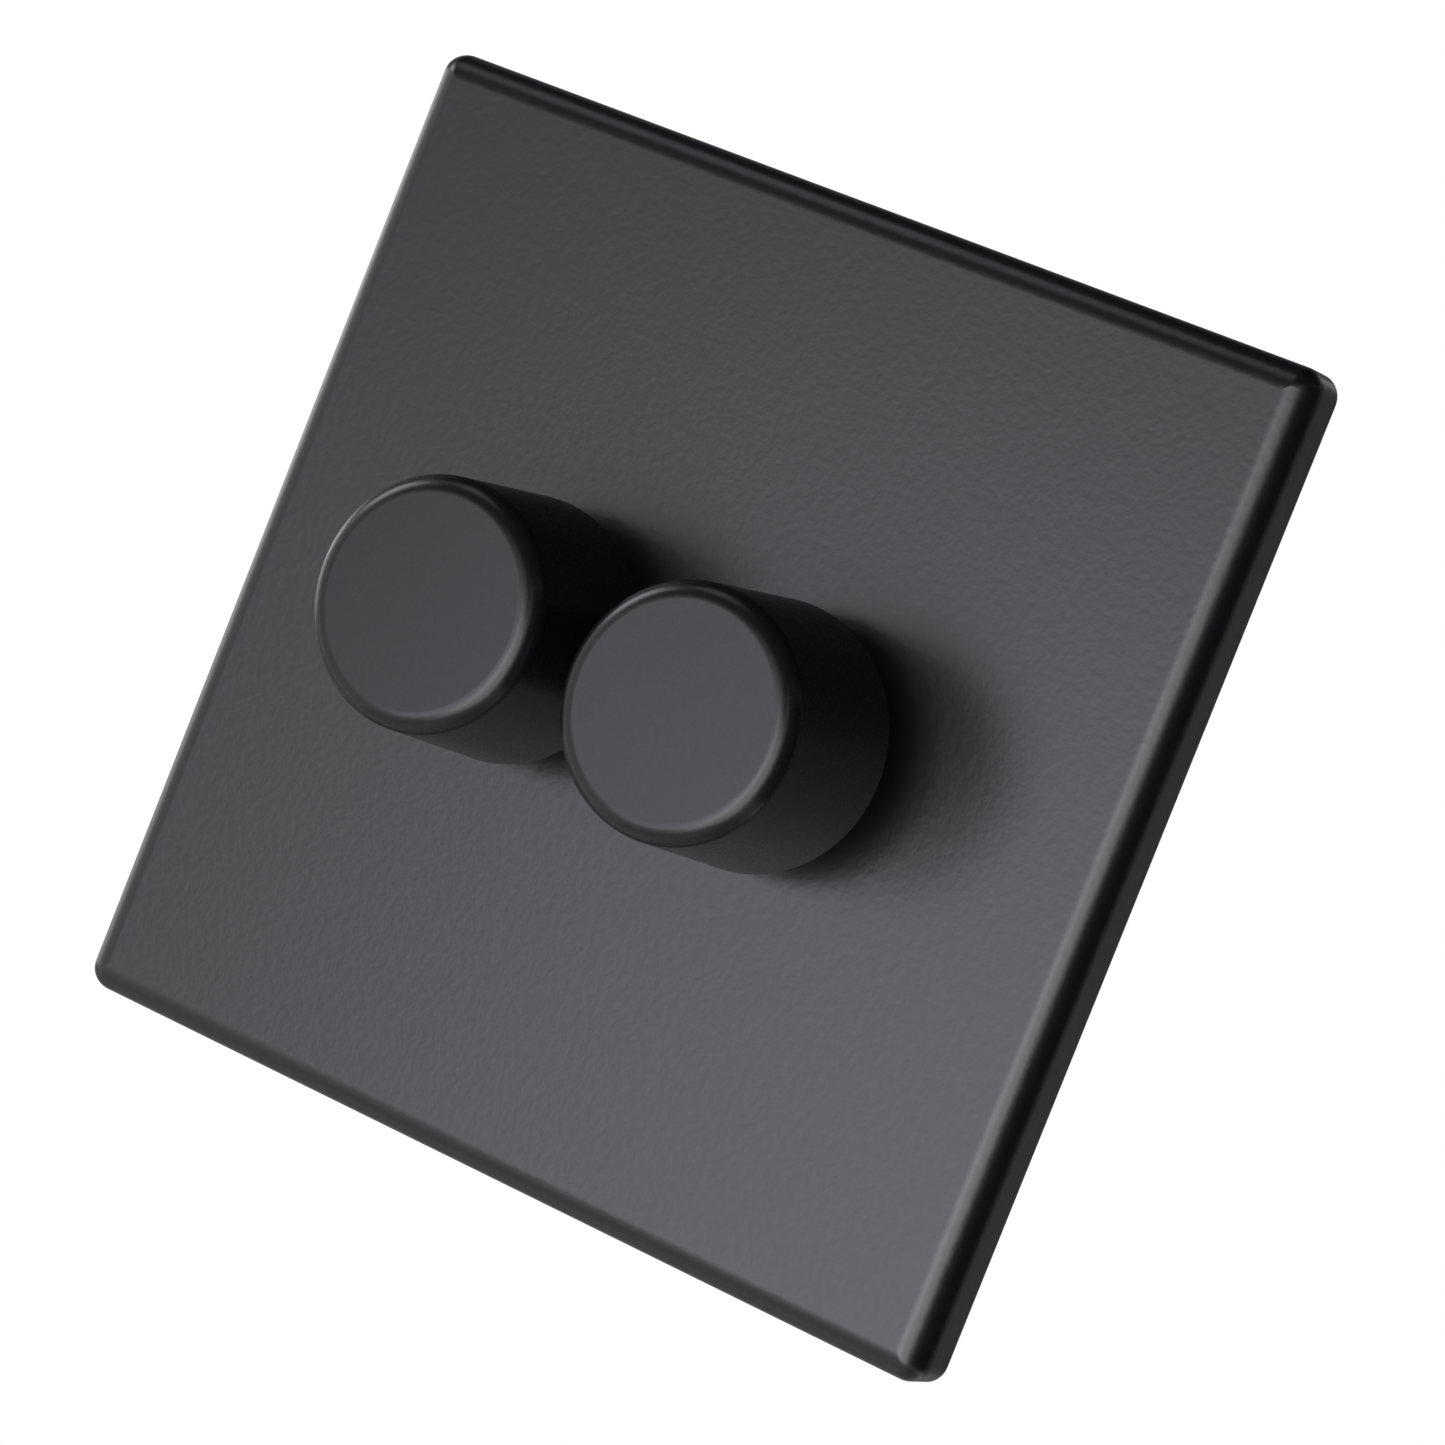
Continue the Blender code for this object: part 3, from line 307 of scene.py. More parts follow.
class ElectronicsSizes(bpy.types.PropertyGroup):
    """Sizes of the circuit boards, of what is on them and of the terminal blocks."""

    board_corner: length("Board corner", "Radius of the circuit board's corners", 0.5)
    board_hole: length("Board hole", "Radius of the hole in the middle of the board", 2.8)
    board_edge: length("Board edge", "Radius of the circuit board's edges", 0.08)
    sink_sheet: length("Sink sheet", "Thickness of the heat sink's aluminium", 1.5)
    sink_bend: length("Sink bend", "Radius of the outside of the heat sink's bend", 1.9)
    sink_edge: length("Sink edge", "Radius of the heat sink's edges", 0.1)
    transistor_corner: length("Transistor corner", "Radius of the transistor's corners", 0.3)
    transistor_edge: length("Transistor edge", "Radius of the transistor's rear edge", 0.4)
    lead: length("Lead", "Side of a transistor's square leads", 0.8)
    lead_corner: length("Lead corner", "Radius of the leads' corners", 0.1)
    lead_length: length("Lead length", "How far the leads stand out of the transistor", 1.4)
    lead_drop: length("Lead drop", "From the transistor's top to the middle of its leads", 1.6)
    lead_pitch: length("Lead pitch", "Spacing of the leads", 2.3)
    choke_wire: length("Choke wire", "Radius of the choke's wire", 0.22)
    choke_turns: IntProperty(name="Choke turns", description="Turns of the choke's wire", default=26, min=1)
    capacitor_edge: length("Capacitor edge", "Radius of the capacitor's corners and rear edge", 0.6)
    fuse_tube: length("Fuse tube", "Radius of the fuse's ceramic tube", 1.3)
    fuse_cap: length("Fuse cap", "Radius of the fuse's end caps", 1.6)
    fuse_bare: length("Bare tube", "Length of the fuse's tube between its caps", 9.2)
    fuse_edge: length("Fuse edge", "Width of the bevels at the caps' ends", 0.25)
    block_corner: length("Block corner", "Radius of the terminal block's corners", 0.5)
    block_edge: length("Block edge", "Radius of the terminal block's rear edge", 0.3)
    block_wall: length("Block wall", "Thickness of the wall in front of the wire entries", 1.6)
    block_groove: length("Block groove", "Width of the grooves between the terminals", 0.6)
    groove_depth: length("Groove depth", "Depth of the grooves between the terminals", 0.8)


class FinishColours(bpy.types.PropertyGroup):
    """Colours of the finishes."""

    coat: colour("Powder coat", "Satin black coat on the front plate", "111113")
    knob: colour("Knob paint", "Satin black paint on the knobs", "131315")
    nylon: colour("Nylon", "Black nylon of the clip frame", "303032")
    case: colour("Case", "Dark grey plastic of the module cases", "4B4C4E")
    foam: colour("Foam", "Black foam of the wall gasket", "3B3B3D")
    zinc: colour("Zinc", "Bright zinc plate", "C9CCCE")
    spring: colour("Spring steel", "Bare drawn spring steel", "B8B9BA")
    brass: colour("Brass", "Bare brass", "D8B56A")
    nickel: colour("Nickel", "Nickel plate on brass", "D6D0C2")
    aluminium: colour("Aluminium", "Bare aluminium", "DFE0E2")
    copper: colour("Copper wire", "Copper wire under clear enamel", "C4814E")
    board: colour("Circuit board", "Green solder mask", "1F5A3A")
    track: colour("Track", "Copper tracks under the solder mask", "35784C")
    phenolic: colour("Phenolic", "Brown paper laminate", "7E5A3A")
    carbon: colour("Carbon", "Printed carbon track", "1E1D1D")
    acetal: colour("Acetal", "Natural white acetal", "E2DFD7")
    polyester: colour("Polyester", "Blue plastic of the switches", "46678F")
    epoxy: colour("Epoxy", "Black epoxy of the transistors", "262627")
    film: colour("Film box", "Yellow box of the film capacitors", "D1B44F")
    ceramic: colour("Ceramic", "Unglazed white ceramic", "E4E1DA")
    terminal: colour("Terminal", "Green nylon of the terminal blocks", "5E8A6B")


class StageSettings(bpy.types.PropertyGroup):
    """Camera and light of the studio."""

    azimuth: angle("Azimuth", "Camera's place round the plate", 27.242)
    elevation: angle("Elevation", "Camera's height above level", 3.311)
    roll: angle("Roll", "How far the camera is tipped", 21.706)
    distance: length("Distance", "From the camera to the point that it looks at", 439.83)
    lens: FloatProperty(
        name="Lens",
        description="Focal length on a 36 mm sensor",
        default=132.87,
        unit="CAMERA",
    )
    target: FloatVectorProperty(
        name="Target",
        description="Point that the camera looks at",
        default=(2.99 * MM, 0.0, -1.02 * MM),
        subtype="TRANSLATION",
        unit="LENGTH",
    )
    floor: length("Floor", "Height of the floor, from the plate's centre", -750.0)
    floor_end: length("Floor end", "Radius of the floor", 1500.0)
    fade_start: length("Fade start", "Distance at which the floor starts to fade to white", 500.0)
    fade_end: length("Fade end", "Distance at which the floor is white", 1000.0)
    paint: colour("Floor paint", "Pale paint of the floor", "E6E6E6")
    fill: FloatProperty(name="Fill", description="Strength of the world's even fill light", default=0.1)
    softbox_distance: length("Softbox distance", "From the plate to the softboxes", 700.0)
    flag_distance: length("Flag distance", "From the plate to the flags", 900.0)


def add_node(tree, kind, inputs=None, **settings):
    """Adds a shader node. inputs maps a socket to a value, or to the output socket that feeds it."""
    new = tree.nodes.new("ShaderNode" + kind)
    for name, value in settings.items():
        setattr(new, name, value)
    for socket, value in (inputs or {}).items():
        if isinstance(value, bpy.types.NodeSocket):
            tree.links.new(value, new.inputs[socket])
        else:
            new.inputs[socket].default_value = value
    return new


def shader_of(material):
    return material.node_tree.nodes["Principled BSDF"]


def two_tone(material, amount, first, second):
    """Gives the material a base colour that goes from the first to the second as an output socket says."""
    tree = material.node_tree
    colours = {MIX_FIRST: (*first, 1.0), MIX_SECOND: (*second, 1.0)}
    tint = add_node(tree, "Mix", {"Factor": amount, **colours}, data_type="RGBA")
    tree.links.new(tint.outputs[MIX_RESULT], shader_of(material).inputs["Base Color"])


def textured(name, base, roughness, grain, depth, metallic=0.0, stretch=(1, 1, 1), tone=0.06, gloss=0.06):
    """A material whose noise lifts its skin and varies its tone and gloss. grain and depth are in mm."""
    material = bpy.data.materials.new(name)
    material.use_nodes = True
    tree = material.node_tree
    shader = shader_of(material)
    shader.inputs["Metallic"].default_value = metallic
    where = add_node(tree, "TexCoord").outputs["Object"]
    scale = [side / (grain * MM) for side in stretch]
    place = add_node(tree, "Mapping", {"Vector": where, "Scale": scale}).outputs["Vector"]
    noise = add_node(tree, "TexNoise", {"Vector": place, "Scale": 1.0, "Detail": 2.0}).outputs["Fac"]
    dark, light = [[channel * (1 + change) for channel in base] for change in (-tone, tone)]
    two_tone(material, noise, dark, light)
    limits = {"Value": noise, "To Min": roughness - gloss, "To Max": roughness + gloss}
    shine = add_node(tree, "MapRange", limits)
    bump = add_node(tree, "Bump", {"Height": noise, "Distance": depth * MM})
    tree.links.new(shine.outputs["Result"], shader.inputs["Roughness"])
    tree.links.new(bump.outputs["Normal"], shader.inputs["Normal"])
    return material


def powder_coated_steel(colours):
    # Polyester powder stoved on steel: it flows out to a satin skin with a fine orange peel.
    peel = {"grain": 0.7, "depth": 0.016, "tone": 0.02, "gloss": 0.02}
    return textured("powder_coated_steel", colours.coat, roughness=0.31, **peel)


def painted_knob(colours):
    # Satin lacquer on a moulded knob: smoother than the powder coat, so its rim shows crisp lights.
    skin = {"grain": 0.6, "depth": 0.003, "tone": 0.02, "gloss": 0.02}
    material = textured("painted_knob", colours.knob, roughness=0.27, **skin)
    shader_of(material).inputs["IOR"].default_value = 1.4
    return material


def moulded_nylon(colours):
    # Glass-filled nylon from a plain steel mould: dull, with a faint swirl of fibres near the skin.
    swirl = {"grain": 0.5, "depth": 0.006, "stretch": (1, 1, 0.3)}
    return textured("moulded_nylon", colours.nylon, roughness=0.55, **swirl)


def moulded_polycarbonate(colours):
    # Flame-proof polycarbonate from a spark-eroded mould: an even fine grain that scatters the light.
    # The real grain is under 0.1 mm and is drawn coarser, so that it shows.
    return textured("moulded_polycarbonate", colours.case, roughness=0.5, grain=0.35, depth=0.02)


def closed_cell_foam(colours):
    # Die-cut closed-cell foam: cut open bubbles give a dull, pitted skin.
    return textured("closed_cell_foam", colours.foam, roughness=0.93, grain=0.5, depth=0.15, tone=0.25)


def zinc_plated_steel(colours):
    # Cold-rolled steel with a bright zinc plate: cool silver, with soft rolling streaks.
    streaks = {"grain": 0.7, "depth": 0.004, "stretch": (1, 1, 0.12)}
    return textured("zinc_plated_steel", colours.zinc, roughness=0.33, metallic=1.0, **streaks)


def drawn_spring_steel(colours):
    # Hardened and drawn spring wire and strip: darker than plated steel, with fine draw marks.
    marks = {"grain": 0.3, "depth": 0.002, "stretch": (0.3, 1, 0.3)}
    return textured("drawn_spring_steel", colours.spring, roughness=0.3, metallic=1.0, **marks)


def pressed_brass(colours):
    # Rolled and turned brass: warm yellow, a little dulled where it has been handled.
    dulling = {"grain": 0.9, "depth": 0.003, "tone": 0.1, "gloss": 0.1}
    return textured("pressed_brass", colours.brass, roughness=0.3, metallic=1.0, **dulling)


def nickel_plated_brass(colours):
    # Turned brass with a nickel plate: warm silver, with fine rings left by the tool.
    rings = {"grain": 0.25, "depth": 0.003, "stretch": (0.1, 1, 0.1)}
    return textured("nickel_plated_brass", colours.nickel, roughness=0.27, metallic=1.0, **rings)


def turned_aluminium(colours):
    # Aluminium turned or folded and left bare: pale, soft and finely lined.
    lines = {"grain": 0.3, "depth": 0.004, "stretch": (0.1, 1, 0.1)}
    return textured("turned_aluminium", colours.aluminium, roughness=0.36, metallic=1.0, **lines)


def enamelled_copper(colours):
    # Copper wire under a clear enamel: a metal's colour beneath a glossy skin.
    skin = {"grain": 0.4, "depth": 0.002, "metallic": 0.8}
    material = textured("enamelled_copper", colours.copper, roughness=0.3, **skin)
    shader_of(material).inputs["Coat Weight"].default_value = 0.6
    return material


def tinned_copper(colours):
    # Leads and caps with a soft silver coat of tin.
    return textured("tinned_copper", colours.zinc, roughness=0.28, grain=0.4, depth=0.003, metallic=1.0)


def glass_fibre_board(colours):
    # Glass-fibre board under a green mask: the copper tracks show through as paler bands.
    material = textured("glass_fibre_board", colours.board, roughness=0.4, grain=0.3, depth=0.004)
    tree = material.node_tree
    where = add_node(tree, "TexCoord").outputs["Object"]
    upright = {"Vector": where, "Rotation": CIRCLE_FACES["Y"]}
    across = add_node(tree, "Mapping", upright).outputs["Vector"]
    track_pitch = 2.2 * MM
    pattern = {"Scale": 1 / track_pitch, "Mortar Size": 0.09, "Brick Width": 3.0, "Row Height": 0.6}
    bands = add_node(tree, "TexBrick", {"Vector": across, **pattern}).outputs["Fac"]
    two_tone(material, bands, colours.board, colours.track)
    return material


def printed_phenolic(colours):
    # Paper laminate with a printed carbon ring: brown board with a matt black band that the wiper runs on.
    paper = {"grain": 0.5, "depth": 0.005, "stretch": (1, 1, 0.4)}
    material = textured("printed_phenolic", colours.phenolic, roughness=0.5, **paper)
    tree = material.node_tree
    centre = middle("track_wafer_right")
    where = add_node(tree, "TexCoord").outputs["Object"]
    parts = add_node(tree, "SeparateXYZ", {"Vector": where}).outputs
    side = add_node(tree, "Math", {0: parts["X"]}, operation="ABSOLUTE").outputs["Value"]
    flat = add_node(tree, "CombineXYZ", {"X": side, "Z": parts["Z"]}).outputs["Vector"]
    ends = {0: flat, 1: (centre.x, 0, centre.z)}
    radius = add_node(tree, "VectorMath", ends, operation="DISTANCE").outputs["Value"]
    ring_radius, ring_half = 5.4 * MM, 0.8 * MM
    ring = {0: radius, 1: ring_radius, 2: ring_half}
    band = add_node(tree, "Math", ring, operation="COMPARE").outputs["Value"]
    two_tone(material, band, colours.phenolic, colours.carbon)
    return material


def moulded_acetal(colours):
    # Natural acetal: a slightly waxy white that lets a little light in.
    material = textured("moulded_acetal", colours.acetal, roughness=0.38, grain=0.8, depth=0.003, tone=0.02)
    shader = shader_of(material)
    shader.inputs["Subsurface Weight"].default_value = 0.2
    shader.inputs["Subsurface Scale"].default_value = 0.5 * MM
    return material


def moulded_polyester(colours):
    # Blue polyester from a polished mould: an even satin.
    return textured("moulded_polyester", colours.polyester, roughness=0.42, grain=0.5, depth=0.004)


def moulded_epoxy(colours):
    # Filled epoxy: nearly black, dull and a little grainy.
    return textured("moulded_epoxy", colours.epoxy, roughness=0.55, grain=0.25, depth=0.008)


def ferrite(colours):
    # Pressed ferrite with a dip coat: dark, dull and lightly dimpled.
    return textured("ferrite", colours.carbon, roughness=0.6, grain=0.5, depth=0.02)


def polyester_film_box(colours):
    # Yellow plastic box of a film capacitor: glossy, with slightly uneven faces.
    return textured("polyester_film_box", colours.film, roughness=0.28, grain=1.6, depth=0.01, tone=0.03)


def unglazed_ceramic(colours):
    # Fired ceramic tube without a glaze: chalk white and matt.
    return textured("unglazed_ceramic", colours.ceramic, roughness=0.6, grain=0.3, depth=0.006, tone=0.02)


def terminal_nylon(colours):
    # Green nylon of the terminal block: moulded, with a soft sheen.
    return textured("terminal_nylon", colours.terminal, roughness=0.45, grain=0.5, depth=0.005)


FINISHES = {
    "black_powder_coat": powder_coated_steel,
    "black_knob": painted_knob,
    "black_nylon": moulded_nylon,
    "zinc_steel": zinc_plated_steel,
    "spring_steel": drawn_spring_steel,
    "brass": pressed_brass,
    "nickel_brass": nickel_plated_brass,
    "aluminium": turned_aluminium,
    "foam": closed_cell_foam,
    "grey_case": moulded_polycarbonate,
    "glass_fibre_board": glass_fibre_board,
    "brown_phenolic": printed_phenolic,
    "white_acetal": moulded_acetal,
    "blue_polyester": moulded_polyester,
    "epoxy": moulded_epoxy,
    "enamelled_copper": enamelled_copper,
    "yellow_film": polyester_film_box,
    "ceramic": unglazed_ceramic,
    "green_terminal": terminal_nylon,
}


def coat(piece, make):
    """Gives the piece the material that a function makes, or that it made before."""
    material = bpy.data.materials.get(make.__name__) or make(bpy.context.scene.dimmer_colours)
    piece.data.materials.append(material)
    return piece


def facing_plate(azimuth, elevation, distance):
    """A place at a distance from the plate, in a direction, from which -Z looks back at it."""
    turn = Matrix.Rotation(azimuth, 4, "Z") @ Matrix.Rotation(math.pi / 2 - elevation, 4, "X")
    return turn @ Matrix.Translation((0, 0, distance))


def seen_directly(tree):
    """1 for camera, glossy and transmission rays and 0 for the rest."""
    rays = add_node(tree, "LightPath").outputs
    some = add_node(tree, "Math", {0: rays["Is Camera Ray"], 1: rays["Is Glossy Ray"]}, operation="MAXIMUM")
    kinds = {0: some.outputs["Value"], 1: rays["Is Transmission Ray"]}
    return add_node(tree, "Math", kinds, operation="MAXIMUM").outputs["Value"]


def pair(stem):
    """The names of a piece's left and right nodes."""
    return stem + "_left", stem + "_right"


def middle(node):
    """The middle of a node's box."""
    low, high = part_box(node)
    return (low + high) / 2


def left(stem):
    """The box of a piece's left node and the middle of that box."""
    low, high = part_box(stem + "_left")
    return low, high, (low + high) / 2


def three_places(centre, pitch):
    return centre - pitch, centre, centre + pitch


def side_limits(inner, outer, half, front, rear):
    """Corners of a block in the middle of each side of a square."""
    for side in (-1, 1):
        near, far = sorted((side * inner, side * outer))
        yield (near, front, -half), (far, rear, half)
        yield (-half, front, near), (half, rear, far)


def arc(radius, place, size, start, end, steps=4):
    """(radius, place) steps of a turned profile round an arc. Angles are degrees from straight outwards."""
    turns = [math.radians(start + (end - start) * step / steps) for step in range(steps + 1)]
    return [(radius + size * math.cos(turn), place + size * math.sin(turn)) for turn in turns]


def rounded_rim(radius, low, high, edge):
    """(radius, place) steps of a turned profile round a rim with two rounded edges."""
    return arc(radius - edge, low + edge, edge, -90, 0) + arc(radius - edge, high - edge, edge, 0, 90)


def choose(piece):
    """Makes the piece the only one that is selected."""
    bpy.ops.object.select_all(action="DESELECT")
    piece.select_set(True)
    bpy.context.view_layer.objects.active = piece


def placed(name):
    """Names the active piece and puts its place, turn and scale into its mesh."""
    piece = bpy.context.object
    piece.name = name
    piece.data.name = name
    bpy.ops.object.transform_apply(location=True, rotation=True, scale=True)
    return piece


def added(name, primitive, **settings):
    """Adds a primitive as a new piece, with nothing else selected."""
    bpy.ops.object.select_all(action="DESELECT")
    primitive(**settings)
    return placed(name)


def edit(piece):
    """Opens the piece in edit mode with all of it selected."""
    choose(piece)
    bpy.ops.object.mode_set(mode="EDIT")
    bpy.ops.mesh.select_all(action="SELECT")


def leave_edit():
    bpy.ops.object.mode_set(mode="OBJECT")


def close_up():
    """Merges what meets in the mesh in edit mode and points its faces outwards."""
    bpy.ops.mesh.select_all(action="SELECT")
    bpy.ops.mesh.remove_doubles(threshold=MERGE)
    bpy.ops.mesh.normals_make_consistent(inside=False)
    leave_edit()


def pick(piece, kind, wanted):
    """Selects the edges or faces of the piece in edit mode that pass a test."""
    bpy.ops.mesh.select_mode(type="EDGE" if kind == "edges" else "FACE")
    bpy.ops.mesh.select_all(action="DESELECT")
    mesh = bmesh.from_edit_mesh(piece.data)
    for part in getattr(mesh, kind):
        part.select_set(wanted(part))
    bmesh.update_edit_mesh(piece.data)


def runs_along(axis):
    """A test for edges that run along an axis."""
    return lambda edge: abs((edge.verts[1].co - edge.verts[0].co).normalized().dot(AXES[axis])) > STRAIGHT


def lies_at(axis, place):
    """A test for edges and faces that lie at one place along an axis."""
    return lambda part: all(abs(vertex.co.dot(AXES[axis]) - place) < MERGE for vertex in part.verts)


def both_tests(first, second):
    return lambda part: first(part) and second(part)


def round_edges(piece, wanted, radius, steps=3):
    """Bevels the edges that pass a test to a radius."""
    edit(piece)
    pick(piece, "edges", wanted)
    bpy.ops.mesh.bevel(offset=radius, segments=steps, affect="EDGES", clamp_overlap=False)
    close_up()


def roll_edge(half, radius, corner, steps):
    """Rolls the edge of the chosen square front face to a radius, in steps that draw it in and forwards.

    Each step insets the face as long as its rounded corners last, and then scales it.
    """
    turns = [math.pi / 2 * step / steps for step in range(steps + 1)]
    for turn, next_turn in zip(turns, turns[1:]):
        inward = radius * (math.cos(turn) - math.cos(next_turn))
        forward = radius * (math.sin(next_turn) - math.sin(turn))
        if inward < corner:
            bpy.ops.mesh.inset(thickness=inward, depth=forward)
            corner -= inward
        else:
            bpy.ops.mesh.extrude_region_move(TRANSFORM_OT_translate={"value": (0, -forward, 0)})
            scale = (half - inward) / half
            bpy.ops.transform.resize(value=(scale, 1, scale), center_override=(0, 0, 0))
            corner = 0.0
        half -= inward


def slab(name, low, high, corner=0.0, axis="Y", steps=8):
    """A block between two corners, with the edges along one axis rounded."""
    low, high = Vector(low), Vector(high)
    size = {"size": 1.0, "scale": high - low}
    piece = added(name, bpy.ops.mesh.primitive_cube_add, location=(low + high) / 2, **size)
    if corner:
        round_edges(piece, runs_along(axis), corner, steps)
    return piece


def square_slab(name, half, front, rear, corner):
    """A rounded square about the plate's centre, between two depths."""
    return slab(name, (-half, front, -half), (half, rear, half), corner)


def turned(name, steps, centre=(0, 0, 0), axis="Y", sides=ROUND, ring=False, spin=0.0):
    """Turns a shape as on a lathe: a circle is extruded and scaled through (radius, place) steps.

    A ring's last step leads back to its first, and any other shape is capped at both ends.
    """
    along = AXES[axis]
    across = Vector((1, 1, 1)) - along
    centre = Vector(centre) * across
    circle = {"vertices": sides, "radius": steps[0][0], "location": centre + along * steps[0][1]}
    facing = Vector(CIRCLE_FACES[axis]) + along * spin
    piece = added(name, bpy.ops.mesh.primitive_circle_add, rotation=facing, **circle)
    edit(piece)
    if not ring:
        bpy.ops.mesh.edge_face_add()
    for (radius, place), (next_radius, next_place) in zip(steps, steps[1:]):
        bpy.ops.mesh.extrude_region_move(TRANSFORM_OT_translate={"value": along * (next_place - place)})
        scale = across * (next_radius / radius) + along
        bpy.ops.transform.resize(value=scale, center_override=centre + along * next_place)
    close_up()
    return piece


def rod(name, radius, low, high, centre=(0, 0, 0), axis="Y", sides=ROUND):
    """A plain rod, which cuts a bore or joins on as a peg."""
    return turned(name, [(radius, low), (radius, high)], centre, axis, sides)


def flat_ring(stem, hole, edge):
    """A flat ring that fills the box of a piece's left node, with its outer edges rounded."""
    low, high, centre = left(stem)
    profile = [(hole, low.y)] + rounded_rim((high.x - low.x) / 2, low.y, high.y, edge)
    profile += [(hole, high.y), (hole, low.y)]
    return turned(stem, profile, centre, ring=True)


def apply_modifier(piece, kind, **settings):
    """Adds a modifier with its settings and applies it."""
    modifier = piece.modifiers.new(kind.lower(), kind)
    for name, value in settings.items():
        setattr(modifier, name, value)
    choose(piece)
    bpy.ops.object.modifier_apply(modifier=modifier.name)


def wind(piece, pitch, turns, steps):
    """Winds a profile up the Z axis."""
    winding = {"axis": "Z", "screw_offset": pitch, "iterations": turns}
    apply_modifier(piece, "SCREW", steps=steps, render_steps=steps, **winding)


def combine(piece, operation, *others):
    """Cuts other solids out of the piece, joins them on or keeps what they share, and removes them."""
    for other in others:
        apply_modifier(piece, "BOOLEAN", object=other, operation=operation, solver="EXACT")
        bpy.data.meshes.remove(other.data)
    return piece


def cut(piece, *others):
    return combine(piece, "DIFFERENCE", *others)


def join(piece, *others):
    return combine(piece, "UNION", *others)


def put_together(piece, *others):
    """Makes one object of closed shells that keep their own materials."""
    choose(piece)
    for other in others:
        other.select_set(True)
    bpy.ops.object.join()
    return piece


def slice_off(place, outward):
    """Cuts off the mesh in edit mode beyond a plane and closes the cut."""
    bpy.ops.mesh.select_all(action="SELECT")
    plane = {"plane_co": place, "plane_no": outward}
    bpy.ops.mesh.bisect(use_fill=True, clear_outer=True, threshold=SLICE_MERGE, **plane)


def cut_spindle_bore(piece, start, end, centre):
    """Cuts the D-shaped bore that a spindle fits."""
    sizes = bpy.context.scene.dimmer_knob
    bore = rod("bore", sizes.spindle + sizes.clearance, start, end, centre)
    edit(bore)
    slice_off((0, 0, sizes.flat + sizes.clearance), AXES["Z"])
    close_up()
    cut(piece, bore)


def folded_sheet(name, low, high, sheet, bend, at_front, inner_steps):
    """A sheet that lies along the top of a box and is bent down at its front or its rear."""
    outside, inside = (low.y, low.y + sheet) if at_front else (high.y, high.y - sheet)
    near, far = sorted((outside, inside))
    top = (low.x, low.y, high.z - sheet), high
    wall = (low.x, near, low.z), (high.x, far, high.z)
    first, second = (wall, top) if at_front else (top, wall)
    piece = slab(name, *first)
    join(piece, slab("fold", *second))
    outer_bend = both_tests(lies_at("Y", outside), lies_at("Z", high.z))
    inner_bend = both_tests(lies_at("Y", inside), lies_at("Z", high.z - sheet))
    round_edges(piece, both_tests(runs_along("X"), outer_bend), bend, steps=8)
    round_edges(piece, both_tests(runs_along("X"), inner_bend), bend - sheet, inner_steps)
    return piece


def thread(name, radius, depth, pitch, low, high, centre, axis="Y", sides=COARSE_ROUND):
    """A threaded rod: a one-pitch profile that is wound up the axis and cut flat at both ends."""
    flank = THREAD_FLANK * pitch
    profile = [(radius - depth, 0.0), (radius, flank), (radius, pitch - flank), (radius - depth, pitch)]
    spare_turns = 3
    piece = added(name, bpy.ops.mesh.primitive_circle_add, vertices=len(profile))
    edit(piece)
    for vertex, (across, along) in zip(bmesh.from_edit_mesh(piece.data).verts, profile):
        vertex.co = (across, 0.0, along - pitch * spare_turns / 2)
    # Only the edge that closes the circle is longer than two flanks. Without it the profile is open.
    pick(piece, "edges", lambda edge: abs(edge.verts[0].co.z - edge.verts[1].co.z) > 2 * flank)
    bpy.ops.mesh.delete(type="EDGE")
    leave_edit()
    wind(piece, pitch, math.ceil((high - low) / pitch) + spare_turns, sides)
    edit(piece)
    bpy.ops.mesh.remove_doubles(threshold=MERGE)
    slice_off((0, 0, 0), -AXES["Z"])
    slice_off((0, 0, high - low), AXES["Z"])
    close_up()
    along = AXES[axis]
    piece.rotation_euler = AXES["Z"].rotation_difference(along).to_euler()
    piece.location = Vector(centre) * (Vector((1, 1, 1)) - along) + along * low
    return placed(name)


def screw(name, node, axis, shank, pitch, head=0.0, head_radius=0.0):
    """A slotted screw that fills its node's box along an axis. A head, if it has one, is at the low end."""
    sizes = bpy.context.scene.dimmer_hardware
    low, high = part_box(node)
    centre = (low + high) / 2
    along = AXES[axis]
    top, end = low.dot(along), high.dot(along)
    depth = THREAD_DEPTH * pitch
    start = top + head / 2
    piece = thread(name, shank, depth, pitch, start, end, centre, axis)
    loose = shank + LOOSE
    point = [(loose, start - REACH), (loose, end - depth - LOOSE), (shank - depth, end + MERGE)]
    combine(piece, "INTERSECT", turned("point", point, centre, axis))
    if head:
        edge = HEAD_EDGE * head_radius
        profile = [(head_radius, top + head)] + arc(head_radius - edge, top + edge, edge, 0, -90)
        join(piece, turned("head", profile, centre, axis))
    half_length = AXES["X"] * (max(head_radius, shank) + REACH)
    half_width = AXES["X"].cross(along) * sizes.driver_slot / 2
    axis_point = centre - along * centre.dot(along)
    first = axis_point + along * (top - REACH) - half_length - half_width
    last = axis_point + along * (top + sizes.slot_depth) + half_length + half_width
    low_corner = [min(ends) for ends in zip(first, last)]
    high_corner = [max(ends) for ends in zip(first, last)]
    return cut(piece, slab("driver_slot", low_corner, high_corner))


def split_ring(stem, inner, outer, opening):
    """A ring of flat strip round the spindle, open at the top: an upright face spun about the Y axis."""
    low, high, _ = left(stem)
    spindle = left("spindle")[2]
    piece = added(stem, bpy.ops.mesh.primitive_plane_add, size=1.0)
    piece.scale = (outer - inner, high.y - low.y, 1)
    piece.location = ((inner + outer) / 2, (low.y + high.y) / 2, 0)
    placed(stem)
    edit(piece)
    bpy.ops.mesh.spin(steps=ROUND, angle=2 * math.pi - opening, center=(0, 0, 0), axis=AXES["Y"])
    close_up()
    piece.rotation_euler.y = -(math.pi + opening) / 2
    piece.location = (spindle.x, 0, spindle.z)
    return placed(stem)


